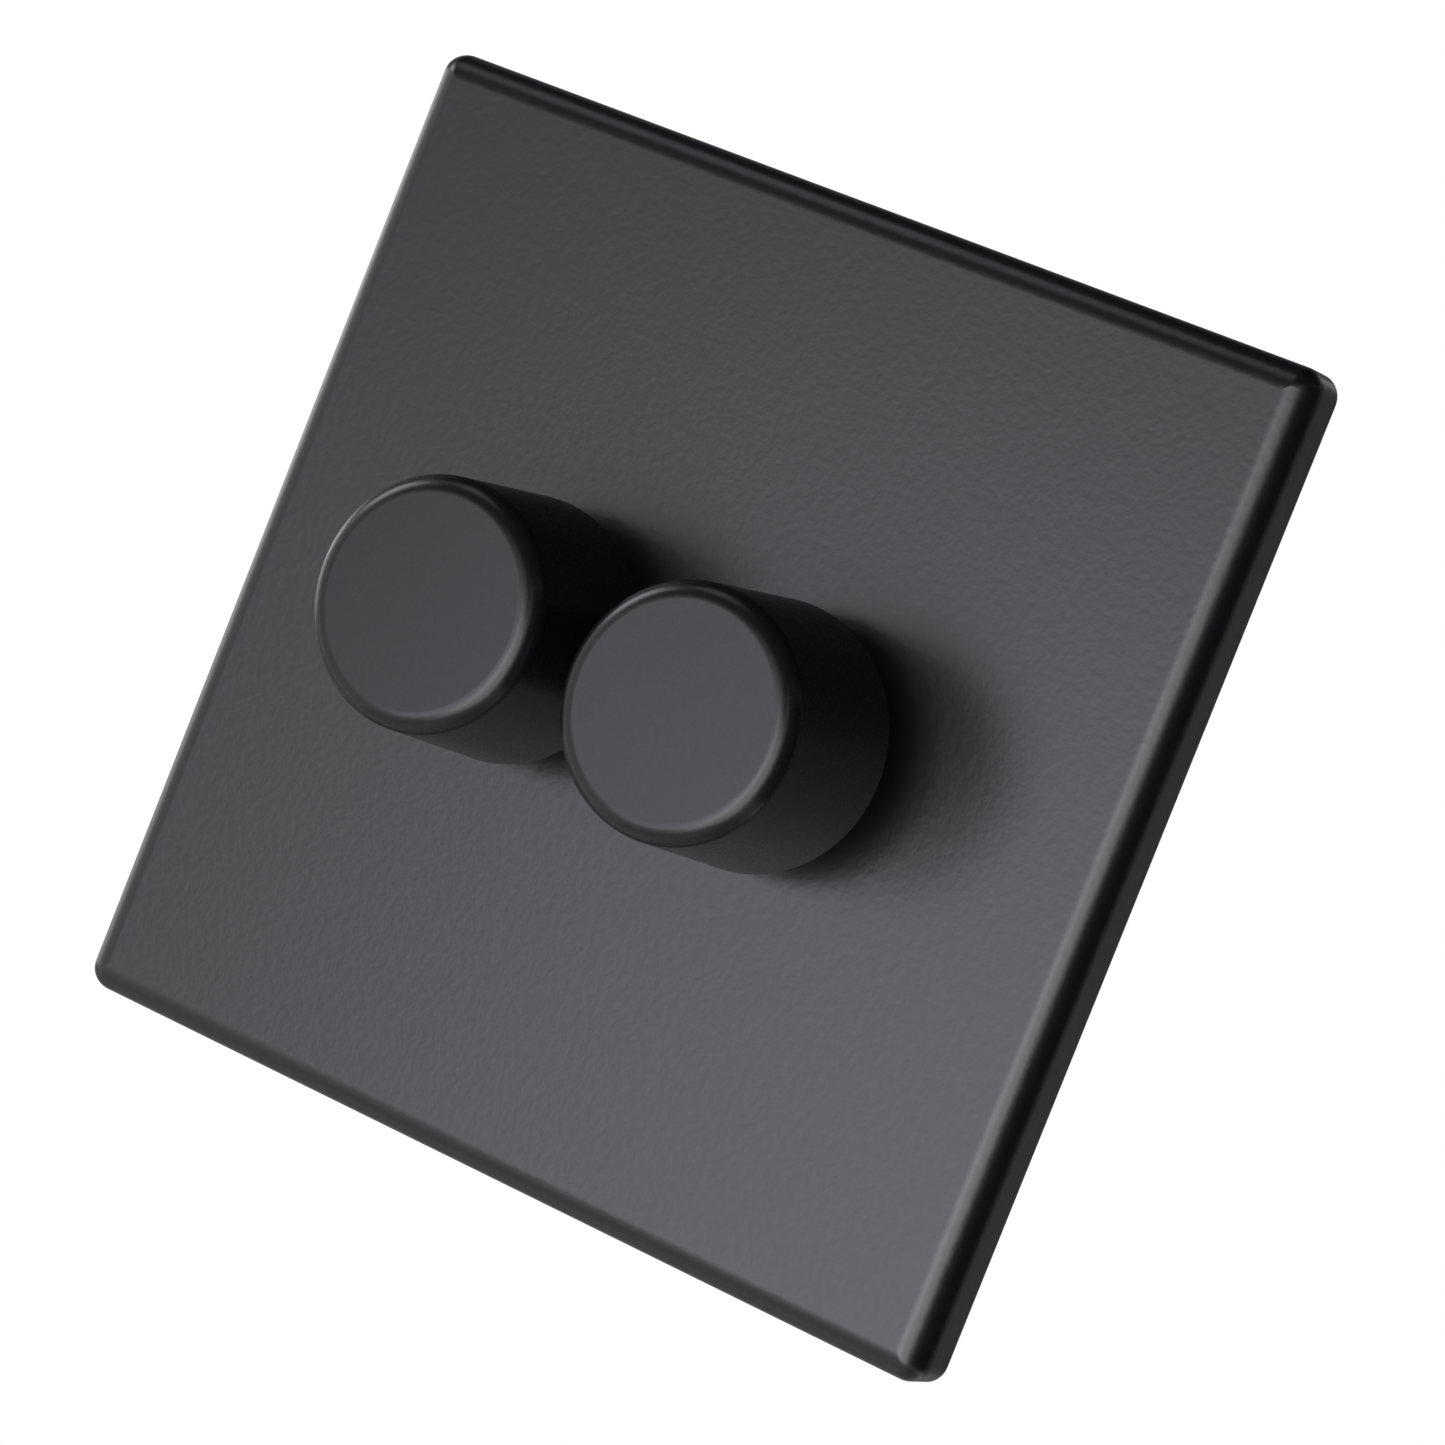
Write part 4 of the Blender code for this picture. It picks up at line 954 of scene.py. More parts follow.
def fit(piece, slot, *nodes, edge=0.0, steps=2):
    """Finishes the piece, puts it in the place of the first node and copies of it in those of the others."""
    if edge:
        bevel = {"width": edge, "segments": steps, "limit_method": "ANGLE", "angle_limit": SMOOTH_ANGLE}
        apply_modifier(piece, "BEVEL", use_clamp_overlap=False, **bevel)
    choose(piece)
    bpy.ops.object.shade_smooth_by_angle(angle=SMOOTH_ANGLE)
    apply_modifier(piece, "WEIGHTED_NORMAL", keep_sharp=True)
    if not piece.data.materials:
        coat(piece, FINISHES[slot])
    finished = {nodes[0]: piece}
    for node in nodes[1:]:
        choose(piece)
        bpy.ops.object.duplicate()
        bpy.ops.transform.translate(value=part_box(node)[0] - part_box(nodes[0])[0])
        finished[node] = bpy.context.object
    for node, copy in finished.items():
        choose(copy)
        placed("finished_" + node)
        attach(copy, frame["nodes"][node]["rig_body"])
        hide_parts(node)
    return list(finished.values())


class DIMMER_OT_front_plate(bpy.types.Operator):
    """Models the pressed front plate with its rolled edge, snap lugs and bush holes"""

    bl_idname = "dimmer.front_plate"
    bl_label = "Front plate"

    def execute(self, context):
        sizes = context.scene.dimmer_plate
        low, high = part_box("front_plate")
        wall_front = low.y + sizes.edge
        plate = slab("front_plate", (low.x, wall_front, low.z), high, sizes.corner, steps=sizes.steps)
        edit(plate)
        pick(plate, "faces", lies_at("Y", wall_front))
        roll_edge(high.x, sizes.edge, sizes.corner, sizes.steps)
        pick(plate, "faces", lies_at("Y", high.y))
        bpy.ops.mesh.delete(type="FACE")
        leave_edit()
        apply_modifier(plate, "SOLIDIFY", thickness=sizes.sheet, offset=-1.0, use_even_offset=True)
        inside = high.x - sizes.sheet
        depths = sizes.lug_front, sizes.lug_rear
        for corners in side_limits(inside - sizes.lug, inside + SINK, sizes.lug_width / 2, *depths):
            join(plate, slab("lug", *corners))
        rim = sizes.hole + sizes.hole_edge
        hole = [(rim, low.y - REACH)] + arc(rim, low.y + sizes.hole_edge, sizes.hole_edge, 270, 180)
        hole.append((sizes.hole, low.y + sizes.sheet + REACH))
        for knob in pair("knob"):
            cut(plate, turned("hole", hole, middle(knob), sides=FINE_ROUND))
        fit(plate, "black_powder_coat", "front_plate")
        return {"FINISHED"}


class DIMMER_OT_knobs(bpy.types.Operator):
    """Models the knobs with their rounded rims, skirts and hubs"""

    bl_idname = "dimmer.knobs"
    bl_label = "Knobs"

    def execute(self, context):
        sizes = context.scene.dimmer_knob
        low, high, centre = left("knob")
        base = (high.x - low.x) / 2
        ceiling = low.y + sizes.roof
        inner = base - sizes.wall
        hub_end = high.y - sizes.hub_setback
        profile = [
            (sizes.hub, hub_end),
            (sizes.hub, ceiling),
            (inner - sizes.taper, ceiling),
            (inner, high.y),
            (base, high.y),
        ]
        profile += arc(base - sizes.taper - sizes.rim, low.y + sizes.rim, sizes.rim, 0, -90, sizes.steps)
        knob = turned("knob", profile, centre, sides=FINE_ROUND)
        round_edges(knob, lies_at("Y", high.y), sizes.edge)
        cut_spindle_bore(knob, left("spindle")[0].y - sizes.edge, hub_end + REACH, centre)
        fit(knob, "black_knob", *pair("knob"))
        return {"FINISHED"}


class DIMMER_OT_clip_frame(bpy.types.Operator):
    """Models the moulded frame that the front plate snaps on to"""

    bl_idname = "dimmer.clip_frame"
    bl_label = "Clip frame"

    def execute(self, context):
        sizes = context.scene.dimmer_frame
        plate = context.scene.dimmer_plate
        low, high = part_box("clip_frame")
        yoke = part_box("yoke_plate")[1]
        shoulder = high.x - sizes.flange
        lip = yoke.x - sizes.lip
        body = square_slab("clip_frame", high.x, low.y, sizes.flange_rear, sizes.corner)
        join(body, square_slab("lip", shoulder, sizes.flange_rear - SINK, high.y, sizes.corner))
        pocket = yoke.x + sizes.gap, low.y - REACH, yoke.y + sizes.gap, sizes.corner
        cut(body, square_slab("pocket", *pocket))
        cut(body, square_slab("window", lip, low.y - REACH, high.y + REACH, sizes.corner))
        half = plate.lug_width / 2 + sizes.gap
        depths = plate.lug_front - sizes.gap, sizes.flange_rear + REACH
        for corners in side_limits(high.x - sizes.notch, high.x + REACH, half, *depths):
            cut(body, slab("notch", *corners))
        mark = sizes.ejector, high.y - sizes.ejector_depth, high.y + REACH
        for x, z in self.mark_places((shoulder + lip) / 2):
            cut(body, rod("mark", *mark, (x, 0, z), sides=COARSE_ROUND))
        fit(body, "black_nylon", "clip_frame", edge=sizes.edge)
        return {"FINISHED"}

    def mark_places(self, half):
        """Where the ejector marks lie: on the corners of a square and at the quarters of its sides."""
        places = set()
        for along in (-half, -half / 2, 0.0, half / 2, half):
            places.update([(along, -half), (along, half), (-half, along), (half, along)])
        return sorted(places)


class DIMMER_OT_wall_gasket(bpy.types.Operator):
    """Models the foam gasket between the frame and the wall"""

    bl_idname = "dimmer.wall_gasket"
    bl_label = "Wall gasket"

    def execute(self, context):
        sizes = context.scene.dimmer_frame
        low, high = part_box("wall_gasket")
        ring = square_slab("wall_gasket", high.x, low.y, high.y, sizes.gasket_corner)
        inner = high.x - sizes.gasket
        cut(ring, square_slab("inside", inner, low.y - REACH, high.y + REACH, sizes.corner))
        fit(ring, "foam", "wall_gasket", edge=sizes.gasket_edge, steps=3)
        return {"FINISHED"}


class DIMMER_OT_yoke_plate(bpy.types.Operator):
    """Models the steel yoke with its holes and fixing slots"""

    bl_idname = "dimmer.yoke_plate"
    bl_label = "Yoke plate"

    def execute(self, context):
        sizes = context.scene.dimmer_frame
        low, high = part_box("yoke_plate")
        yoke = slab("yoke_plate", low, high, sizes.yoke_corner)
        front, rear = low.y - REACH, high.y + REACH
        for bush in pair("threaded_bush"):
            centre = middle(bush)
            peg = centre + AXES["Z"] * sizes.peg_height
            cut(yoke, rod("bush_hole", sizes.bush_hole, front, rear, centre))
            cut(yoke, rod("peg_hole", sizes.peg_hole, front, rear, peg, sides=SMALL_ROUND))
        half = sizes.slot / 2
        tall = sizes.slot_height / 2
        for fixing in pair("fixing_screw"):
            x = middle(fixing).x
            limits = (x - half, front, -tall), (x + half, rear, tall)
            cut(yoke, slab("slot", *limits, half - MERGE))
        fit(yoke, "zinc_steel", "yoke_plate", edge=sizes.edge)
        return {"FINISHED"}


class DIMMER_OT_fixing_screws(bpy.types.Operator):
    """Models the screws that hold the yoke to the wall box"""

    bl_idname = "dimmer.fixing_screws"
    bl_label = "Fixing screws"

    def execute(self, context):
        sizes = context.scene.dimmer_hardware
        nodes = pair("fixing_screw")
        head = sizes.fixing_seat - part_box(nodes[0])[0].y
        shank = sizes.fixing_shank, sizes.fixing_pitch
        fixing = screw("fixing_screw", nodes[0], "Y", *shank, head, sizes.fixing_head)
        fit(fixing, "zinc_steel", *nodes)
        return {"FINISHED"}


class DIMMER_OT_earth_terminal(bpy.types.Operator):
    """Models the folded earth lug and its screw"""

    bl_idname = "dimmer.earth_terminal"
    bl_label = "Earth terminal"

    def execute(self, context):
        sizes = context.scene.dimmer_hardware
        self.make_lug(sizes)
        screw_low, screw_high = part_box("earth_screw")
        head_radius = (screw_high.x - screw_low.x) / 2
        shank = sizes.earth_shank, sizes.fine_pitch
        earth = screw("earth_screw", "earth_screw", "Z", *shank, sizes.earth_head, head_radius)
        fit(earth, "brass", "earth_screw")
        return {"FINISHED"}

    def make_lug(self, sizes):
        low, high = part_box("earth_lug")
        sheet = 1.2 * MM
        lug = folded_sheet("earth_lug", low, high, sheet, sizes.lug_bend, at_front=True, inner_steps=5)
        round_edges(lug, both_tests(runs_along("Z"), lies_at("Y", high.y)), sizes.lug_corner, steps=8)
        round_edges(lug, both_tests(runs_along("Y"), lies_at("Z", low.z)), sizes.lug_corner, steps=8)
        hole = sizes.earth_shank + sizes.screw_gap
        cut(lug, rod("hole", hole, high.z - sheet - REACH, high.z + REACH, middle("earth_screw"), "Z"))
        face = low.y + sheet
        dimple = [(sizes.weld, face + REACH), (sizes.weld, face), (sizes.weld_floor, face - sizes.weld_depth)]
        height = (low.z + high.z - sheet) / 2
        for x in (low.x / 2, high.x / 2):
            cut(lug, turned("spot_weld", dimple, (x, 0, height), sides=SMALL_ROUND))
        fit(lug, "brass", "earth_lug", edge=sizes.lug_edge)


class DIMMER_OT_module_cases(bpy.types.Operator):
    """Models the moulded cases of the dimmer modules and their rear covers"""

    bl_idname = "dimmer.module_cases"
    bl_label = "Module cases"

    def execute(self, context):
        sizes = context.scene.dimmer_module
        self.make_cases(sizes, context.scene.dimmer_frame)
        self.make_covers(sizes, context.scene.dimmer_frame.gap)
        return {"FINISHED"}

    def make_cases(self, sizes, frame_sizes):
        low, high, centre = left("module_case")
        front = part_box("yoke_plate")[1].y + frame_sizes.gap
        inside_front = front + sizes.front_wall
        case = slab("module_case", (low.x, front, low.z), high, sizes.corner)
        round_edges(case, lies_at("Y", front), sizes.edge, steps=4)
        inside_low = (low.x + sizes.wall, inside_front, low.z + sizes.wall)
        inside_high = (high.x - sizes.wall, high.y + REACH, high.z - sizes.wall)
        cut(case, slab("inside", inside_low, inside_high, sizes.corner - sizes.wall / 2))
        spindle = centre * AXES["X"]
        peg_shoulder = low.y + sizes.peg_edge
        peg = [(sizes.peg, front + SINK), (sizes.peg, peg_shoulder), (sizes.peg - sizes.peg_edge, low.y)]
        join(case, turned("peg", peg, spindle + AXES["Z"] * frame_sizes.peg_height, sides=SMALL_ROUND))
        cut(case, rod("bush_hole", frame_sizes.bush_hole, front - REACH, inside_front + REACH, spindle))
        funnel_end = low.z + sizes.driver_mouth - sizes.driver_hole
        driver = [
            (sizes.driver_mouth, low.z - REACH),
            (sizes.driver_mouth, low.z),
            (sizes.driver_hole, funnel_end),
            (sizes.driver_hole, low.z + sizes.wall + REACH),
        ]
        for x in three_places(centre.x, sizes.pitch):
            cut(case, turned("driver_hole", driver, (x, sizes.screw_depth, 0), "Z", SMALL_ROUND))
        for corners in self.latches(sizes, low, high, high.y, 0.0, REACH):
            cut(case, slab("latch_window", *corners))
        fit(case, "grey_case", *pair("module_case"))

    def latches(self, sizes, low, high, rim, gap, stand):
        """Corners of the latches in both sides of the case, two to a side, a little inside its rear rim."""
        front = rim - sizes.latch_front + gap
        rear = rim - sizes.latch_rear - gap
        half = sizes.latch / 2 - gap
        depth = sizes.wall + SINK
        for height in (low.z / 2, high.z / 2):
            for near, far in ((low.x - stand, low.x + depth), (high.x - depth, high.x + stand)):
                yield (near, front, height - half), (far, rear, height + half)

    def make_covers(self, sizes, gap):
        low, high, centre = left("rear_cover")
        case_rim = left("module_case")[1].y
        rim = case_rim + gap
        cover = slab("rear_cover", (low.x, rim, low.z), high, sizes.corner)
        round_edges(cover, lies_at("Y", high.y), sizes.edge, steps=4)
        inset = sizes.wall + gap
        spigot_low = (low.x + inset, low.y, low.z + inset)
        spigot_high = (high.x - inset, rim + SINK, high.z - inset)
        join(cover, slab("spigot", spigot_low, spigot_high, sizes.corner / 3))
        for corners in self.latches(sizes, low, high, case_rim, sizes.latch_gap, sizes.latch_stand):
            join(cover, slab("latch", *corners))
        for x in three_places(centre.x, sizes.pitch):
            self.cut_wire_entry(cover, sizes, x, low.y, high.y)
        panel_low = (low.x + sizes.panel_margin, high.y - sizes.panel, sizes.panel_bottom)
        panel_high = (high.x - sizes.panel_margin, high.y + REACH, high.z - sizes.panel_margin)
        cut(cover, slab("panel", panel_low, panel_high, sizes.panel_corner))
        fit(cover, "grey_case", *pair("rear_cover"))

    def cut_wire_entry(self, cover, sizes, x, front, rear):
        """Cuts a square wire entry with a flared mouth into the cover."""
        half = sizes.entry / 2
        z = sizes.entry_height
        limits = (x - half, front - REACH, z - half), (x + half, rear + REACH, z + half)
        cut(cover, slab("wire_entry", *limits))
        mouth = slab("mouth", (x - half, rear - SINK, z - half), (x + half, rear, z + half))
        flare = (half + sizes.entry_flare) / half
        edit(mouth)
        pick(mouth, "faces", lies_at("Y", rear))
        bpy.ops.transform.resize(value=(flare, 1, flare), center_override=(x, rear, z))
        bpy.ops.mesh.extrude_region_move(TRANSFORM_OT_translate={"value": (0, REACH, 0)})
        close_up()
        cut(cover, mouth)


class DIMMER_OT_bushes(bpy.types.Operator):
    """Models the threaded bushes, their washers and their chamfered nuts"""

    bl_idname = "dimmer.bushes"
    bl_label = "Bushes"

    def execute(self, context):
        sizes = context.scene.dimmer_hardware
        hole = context.scene.dimmer_frame.bush_hole
        self.make_bushes(sizes)
        low, high, _ = left("bush_washer")
        fit(flat_ring("bush_washer", hole, (high.y - low.y) / 4), "zinc_steel", *pair("bush_washer"))
        self.make_nuts(sizes, hole)
        return {"FINISHED"}

    def make_bushes(self, sizes):
        low, high, centre = left("threaded_bush")
        flange_front = high.y - sizes.bush_flange
        depth = THREAD_DEPTH * sizes.bush_pitch
        ends = low.y, flange_front + SINK
        bush = thread("threaded_bush", sizes.bush, depth, sizes.bush_pitch, *ends, centre, sides=ROUND)
        loose = sizes.bush + LOOSE
        blank = [(sizes.bush - depth, low.y - MERGE), (loose, low.y + LOOSE + depth)]
        blank.append((loose, flange_front + REACH))
        half_side = math.pi / ROUND  # puts the corners between those of the thread
        combine(bush, "INTERSECT", turned("blank", blank, centre, spin=half_side))
        rim = rounded_rim((high.x - low.x) / 2, flange_front, high.y, sizes.bush_edge)
        join(bush, turned("flange", rim, centre, spin=half_side))
        mouth = sizes.bush_bore + sizes.bush_edge
        bore = [(mouth, low.y - REACH), (mouth, low.y), (sizes.bush_bore, low.y + sizes.bush_edge)]
        bore.append((sizes.bush_bore, high.y + REACH))
        cut(bush, turned("bore", bore, centre))
        fit(bush, "nickel_brass", *pair("threaded_bush"))

    def make_nuts(self, sizes, hole):
        low, high, centre = left("bush_nut")
        flat = sizes.nut / 2
        corner = flat / math.cos(math.pi / 6)
        nut = turned("bush_nut", [(corner, low.y), (corner, high.y)], centre, sides=6, spin=math.pi / 6)
        chamfer = (corner - sizes.nut_face) * math.tan(math.pi / 6)
        blank = [
            (sizes.nut_face, low.y - MERGE),
            (corner, low.y + chamfer),
            (corner, high.y - chamfer),
            (sizes.nut_face, high.y + MERGE),
        ]
        combine(nut, "INTERSECT", turned("blank", blank, centre, sides=FINE_ROUND))
        lead = (flat - hole) / 3
        mouth = hole + lead
        bore = [(mouth, low.y - REACH), (mouth, low.y), (hole, low.y + lead), (hole, high.y - lead)]
        bore += [(mouth, high.y), (mouth, high.y + REACH)]
        cut(nut, turned("bore", bore, centre))
        fit(nut, "nickel_brass", *pair("bush_nut"))


class DIMMER_OT_spindles(bpy.types.Operator):
    """Models the spindles with their flats, the clips that keep them in and the knobs' grip springs"""

    bl_idname = "dimmer.spindles"
    bl_label = "Spindles"

    def execute(self, context):
        sizes = context.scene.dimmer_control
        self.make_spindles(sizes, context.scene.dimmer_knob)
        clip = sizes.clip_inner, sizes.clip_outer, sizes.clip_opening
        fit(split_ring("spindle_clip", *clip), "spring_steel", *pair("spindle_clip"), edge=sizes.clip_edge)
        band = sizes.band_inner, sizes.band_outer, sizes.band_opening
        fit(split_ring("knob_spring", *band), "spring_steel", *pair("knob_spring"), edge=sizes.band_edge)
        return {"FINISHED"}

    def make_spindles(self, sizes, knob_sizes):
        low, high, centre = left("spindle")
        clip_low, clip_high, _ = left("spindle_clip")
        radius = knob_sizes.spindle
        groove_front = clip_low.y - sizes.groove_gap
        groove_rear = clip_high.y + sizes.groove_gap
        tip_start = high.y - sizes.tip_length
        profile = [
            (radius - sizes.spindle_edge, low.y),
            (radius, low.y + sizes.spindle_edge),
            (radius, groove_front),
            (sizes.groove, groove_front),
            (sizes.groove, groove_rear),
            (radius, groove_rear),
            (radius, tip_start),
            (sizes.tip, tip_start),
            (sizes.tip, high.y),
        ]
        spindle = turned("spindle", profile, centre)
        knob_flat_end = left("knob")[1].y + sizes.flat_spare
        side = 2 * radius
        for start, end in ((low.y - REACH, knob_flat_end), (groove_rear, high.y + REACH)):
            limits = (centre.x - side, start, knob_sizes.flat), (centre.x + side, end, side)
            cut(spindle, slab("flat", *limits))
        fit(spindle, "aluminium", *pair("spindle"))


class DIMMER_OT_potentiometers(bpy.types.Operator):
    """Models the potentiometers: housing, track wafer and wiper rotor"""

    bl_idname = "dimmer.potentiometers"
    bl_label = "Potentiometers"

    def execute(self, context):
        sizes = context.scene.dimmer_control
        self.make_housings(sizes)
        wafer = flat_ring("track_wafer", sizes.wafer_hole, sizes.wafer_edge)
        fit(wafer, "brown_phenolic", *pair("track_wafer"))
        self.make_rotors(sizes)
        return {"FINISHED"}

    def make_housings(self, sizes):
        low, high, centre = left("pot_housing")
        outer = (high.x - low.x) / 2
        inner = outer - sizes.pot_wall
        floor = low.y + sizes.pot_wall
        profile = [(sizes.pot_hole, low.y)]
        profile += arc(outer - sizes.pot_edge, low.y + sizes.pot_edge, sizes.pot_edge, -90, 0)
        profile += [(outer, high.y), (inner, high.y), (inner, floor), (sizes.pot_hole, floor)]
        profile.append((sizes.pot_hole, low.y))
        housing = turned("pot_housing", profile, centre, ring=True)
        reach = 2 * sizes.pot_wall
        depths = high.y - sizes.pot_wall, high.y + REACH
        for corners in side_limits(outer - reach, outer + reach, sizes.crimp / 2, *depths):
            shifted = [Vector(corner) + centre * AXES["X"] for corner in corners]
            cut(housing, slab("crimp_gap", *shifted))
        fit(housing, "zinc_steel", *pair("pot_housing"))

    def make_rotors(self, sizes):
        low, high, centre = left("wiper_rotor")
        rear = sizes.rotor_rear
        rim = rounded_rim((high.x - low.x) / 2, low.y, rear, sizes.rotor_edge)
        rotor = turned("wiper_rotor", rim, centre)
        half = sizes.finger_width / 2
        finger_low = (centre.x - half, rear - SINK, sizes.finger_low)
        finger_high = (centre.x + half, high.y, sizes.finger_high)
        join(rotor, slab("finger", finger_low, finger_high, sizes.rotor_edge, "X", steps=4))
        cut_spindle_bore(rotor, low.y - REACH, rear + REACH, centre)
        fit(rotor, "white_acetal", *pair("wiper_rotor"))


class DIMMER_OT_push_switches(bpy.types.Operator):
    """Models the push switches: body, plunger and return spring"""

    bl_idname = "dimmer.push_switches"
    bl_label = "Push switches"

    def execute(self, context):
        sizes = context.scene.dimmer_control
        self.make_bodies(sizes)
        self.make_plungers(sizes)
        self.make_springs(sizes)
        return {"FINISHED"}

    def make_bodies(self, sizes):
        low, high, centre = left("switch_body")
        body = slab("switch_body", low, high, sizes.switch_corner)
        round_edges(body, lies_at("Y", high.y), sizes.switch_edge)
        cut(body, rod("bore", sizes.switch_bore, low.y - REACH, sizes.bore_end, centre))
        seam_front = high.y - sizes.seam_place
        seam_rear = seam_front + sizes.seam
        for height in (low.z, high.z):
            seam_low = (low.x - REACH, seam_front, height - sizes.seam_depth)
            seam_high = (high.x + REACH, seam_rear, height + sizes.seam_depth)
            cut(body, slab("seam", seam_low, seam_high))
        fit(body, "blue_polyester", *pair("switch_body"))

    def make_plungers(self, sizes):
        low, high, _ = left("switch_plunger")
        edge = sizes.plunger_edge
        profile = arc(sizes.stem - edge, low.y + edge, edge, -90, 0)
        profile.append((sizes.stem, sizes.collar_front))
        profile += rounded_rim(sizes.collar, sizes.collar_front, sizes.collar_rear, edge)
        profile.append((sizes.guide, sizes.collar_rear))
        profile += arc(sizes.guide - edge, high.y - edge, edge, 0, 90)
        plunger = turned("switch_plunger", profile, left("switch_body")[2])
        fit(plunger, "white_acetal", *pair("switch_plunger"))

    def make_springs(self, sizes):
        low, high, centre = left("return_spring")
        wire = {"vertices": 12, "radius": sizes.wire, "location": (sizes.coil, 0, 0)}
        spring = added("return_spring", bpy.ops.mesh.primitive_circle_add, rotation=CIRCLE_FACES["Y"], **wire)
        pitch = (high.y - low.y - 2 * sizes.wire) / sizes.turns
        wind(spring, -pitch, sizes.turns, steps=40)
        edit(spring)
        bpy.ops.mesh.fill_holes(sides=0)
        close_up()
        spring.rotation_euler = CIRCLE_FACES["Y"]
        spring.location = (centre.x, low.y + sizes.wire, 0)
        choose(spring)
        placed("return_spring")
        for copy, joint in zip(fit(spring, "spring_steel", *pair("return_spring")), pair("push")):
            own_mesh(copy)


class DIMMER_OT_electronics(bpy.types.Operator):
    """Models the circuit boards and the parts on them"""

    bl_idname = "dimmer.electronics"
    bl_label = "Electronics"

    def execute(self, context):
        sizes = context.scene.dimmer_electronics
        self.make_boards(sizes)
        self.make_heat_sinks(sizes)
        self.make_transistors(sizes)
        self.make_chokes(sizes)
        self.make_capacitors(sizes)
        self.make_fuses(sizes)
        return {"FINISHED"}

    def make_boards(self, sizes):
        low, high, centre = left("circuit_board")
        board = slab("circuit_board", low, high, sizes.board_corner)
        cut(board, rod("plunger_hole", sizes.board_hole, low.y - REACH, high.y + REACH, centre))
        fit(board, "glass_fibre_board", *pair("circuit_board"), edge=sizes.board_edge)

    def make_heat_sinks(self, sizes):
        low, high, _ = left("heat_sink")
        fold = sizes.sink_sheet, sizes.sink_bend
        sink = folded_sheet("heat_sink", low, high, *fold, at_front=False, inner_steps=4)
        fit(sink, "aluminium", *pair("heat_sink"), edge=sizes.sink_edge)

    def make_transistors(self, sizes):
        low, high, centre = left("power_transistor")
        body_front = low.y + sizes.lead_length
        body = slab("power_transistor", (low.x, body_front, low.z), high, sizes.transistor_corner)
        round_edges(body, lies_at("Y", high.y), sizes.transistor_edge)
        coat(body, moulded_epoxy)
        half = sizes.lead / 2
        height = high.z - sizes.lead_drop
        leads = []
        for x in three_places(centre.x, sizes.lead_pitch):
            limits = (x - half, low.y, height - half), (x + half, body_front + SINK, height + half)
            leads.append(coat(slab("lead", *limits, sizes.lead_corner, steps=2), tinned_copper))
        fit(put_together(body, *leads), "epoxy", *pair("power_transistor"))

    def make_chokes(self, sizes):
        low, high, centre = left("choke")
        coil = (high.y - low.y) / 2
        ring = (high.x - low.x) / 2 - coil
        wire = sizes.choke_wire
        core = {"major_radius": ring, "minor_radius": coil - 2 * wire}
        core.update(major_segments=48, minor_segments=16)
        place = {"location": centre, "rotation": CIRCLE_FACES["Y"]}
        body = coat(added("choke", bpy.ops.mesh.primitive_torus_add, **core, **place), ferrite)
        loop = {"major_radius": coil - wire, "minor_radius": wire, "major_segments": 20, "minor_segments": 8}
        first = centre + AXES["X"] * ring
        winding = added("winding", bpy.ops.mesh.primitive_torus_add, location=first, **loop)
        coat(winding, enamelled_copper)
        edit(winding)
        steps = sizes.choke_turns - 1
        last = 2 * math.pi * steps / sizes.choke_turns
        bpy.ops.mesh.spin(steps=steps, angle=last, center=centre, axis=AXES["Y"], dupli=True)
        leave_edit()
        fit(put_together(body, winding), "enamelled_copper", *pair("choke"))

    def make_capacitors(self, sizes):
        low, high, _ = left("capacitor")
        box = slab("capacitor", low, high, sizes.capacitor_edge, steps=5)
        round_edges(box, lies_at("Y", high.y), sizes.capacitor_edge, steps=5)
        fit(box, "yellow_film", *pair("capacitor"))

    def make_fuses(self, sizes):
        low, high, centre = left("fuse")
        cap, edge = sizes.fuse_cap, sizes.fuse_edge
        cap_ends = centre.x - sizes.fuse_bare / 2, centre.x + sizes.fuse_bare / 2
        tube = rod("fuse", sizes.fuse_tube, cap_ends[0] - SINK, cap_ends[1] + SINK, centre, "X", SMALL_ROUND)
        coat(tube, unglazed_ceramic)
        caps = []
        for inner, outer in zip(cap_ends, (low.x, high.x)):
            way = math.copysign(edge, outer - inner)
            steps = [(cap - edge / 2, inner), (cap, inner + way / 2), (cap, outer - way), (cap - edge, outer)]
            caps.append(coat(turned("cap", steps, centre, "X", SMALL_ROUND), tinned_copper))
        fit(put_together(tube, *caps), "ceramic", *pair("fuse"))


class DIMMER_OT_terminals(bpy.types.Operator):
    """Models the terminal blocks and their screws"""

    bl_idname = "dimmer.terminals"
    bl_label = "Terminals"

    def execute(self, context):
        hardware = context.scene.dimmer_hardware
        bore = hardware.terminal_shank + hardware.screw_gap
        self.make_blocks(context.scene.dimmer_electronics, context.scene.dimmer_module, bore)
        nodes = [name for letter in TERMINAL_LETTERS for name in pair("terminal_screw_" + letter)]
        shank = hardware.terminal_shank, hardware.fine_pitch
        fit(screw("terminal_screw", nodes[0], "Z", *shank), "zinc_steel", *nodes)
        return {"FINISHED"}

    def make_blocks(self, sizes, module, bore):
        low, high, centre = left("terminal_block")
        block = slab("terminal_block", low, high, sizes.block_corner)
        round_edges(block, lies_at("Y", high.y), sizes.block_edge)
        half = module.entry / 2
        front, rear = low.y + sizes.block_wall, high.y + REACH
        z = module.entry_height
        terminals = three_places(centre.x, module.pitch)
        for x in terminals:
            cut(block, slab("wire_entry", (x - half, front, z - half), (x + half, rear, z + half)))
            screw_axis = (x, module.screw_depth, 0)
            cut(block, rod("screw_bore", bore, low.z - REACH, z, screw_axis, "Z", SMALL_ROUND))
        groove = sizes.block_groove / 2
        groove_front = high.y - sizes.groove_depth
        for first, second in zip(terminals, terminals[1:]):
            x = (first + second) / 2
            limits = (x - groove, groove_front, low.z - REACH), (x + groove, rear, high.z + REACH)
            cut(block, slab("groove", *limits))
        fit(block, "green_terminal", *pair("terminal_block"))


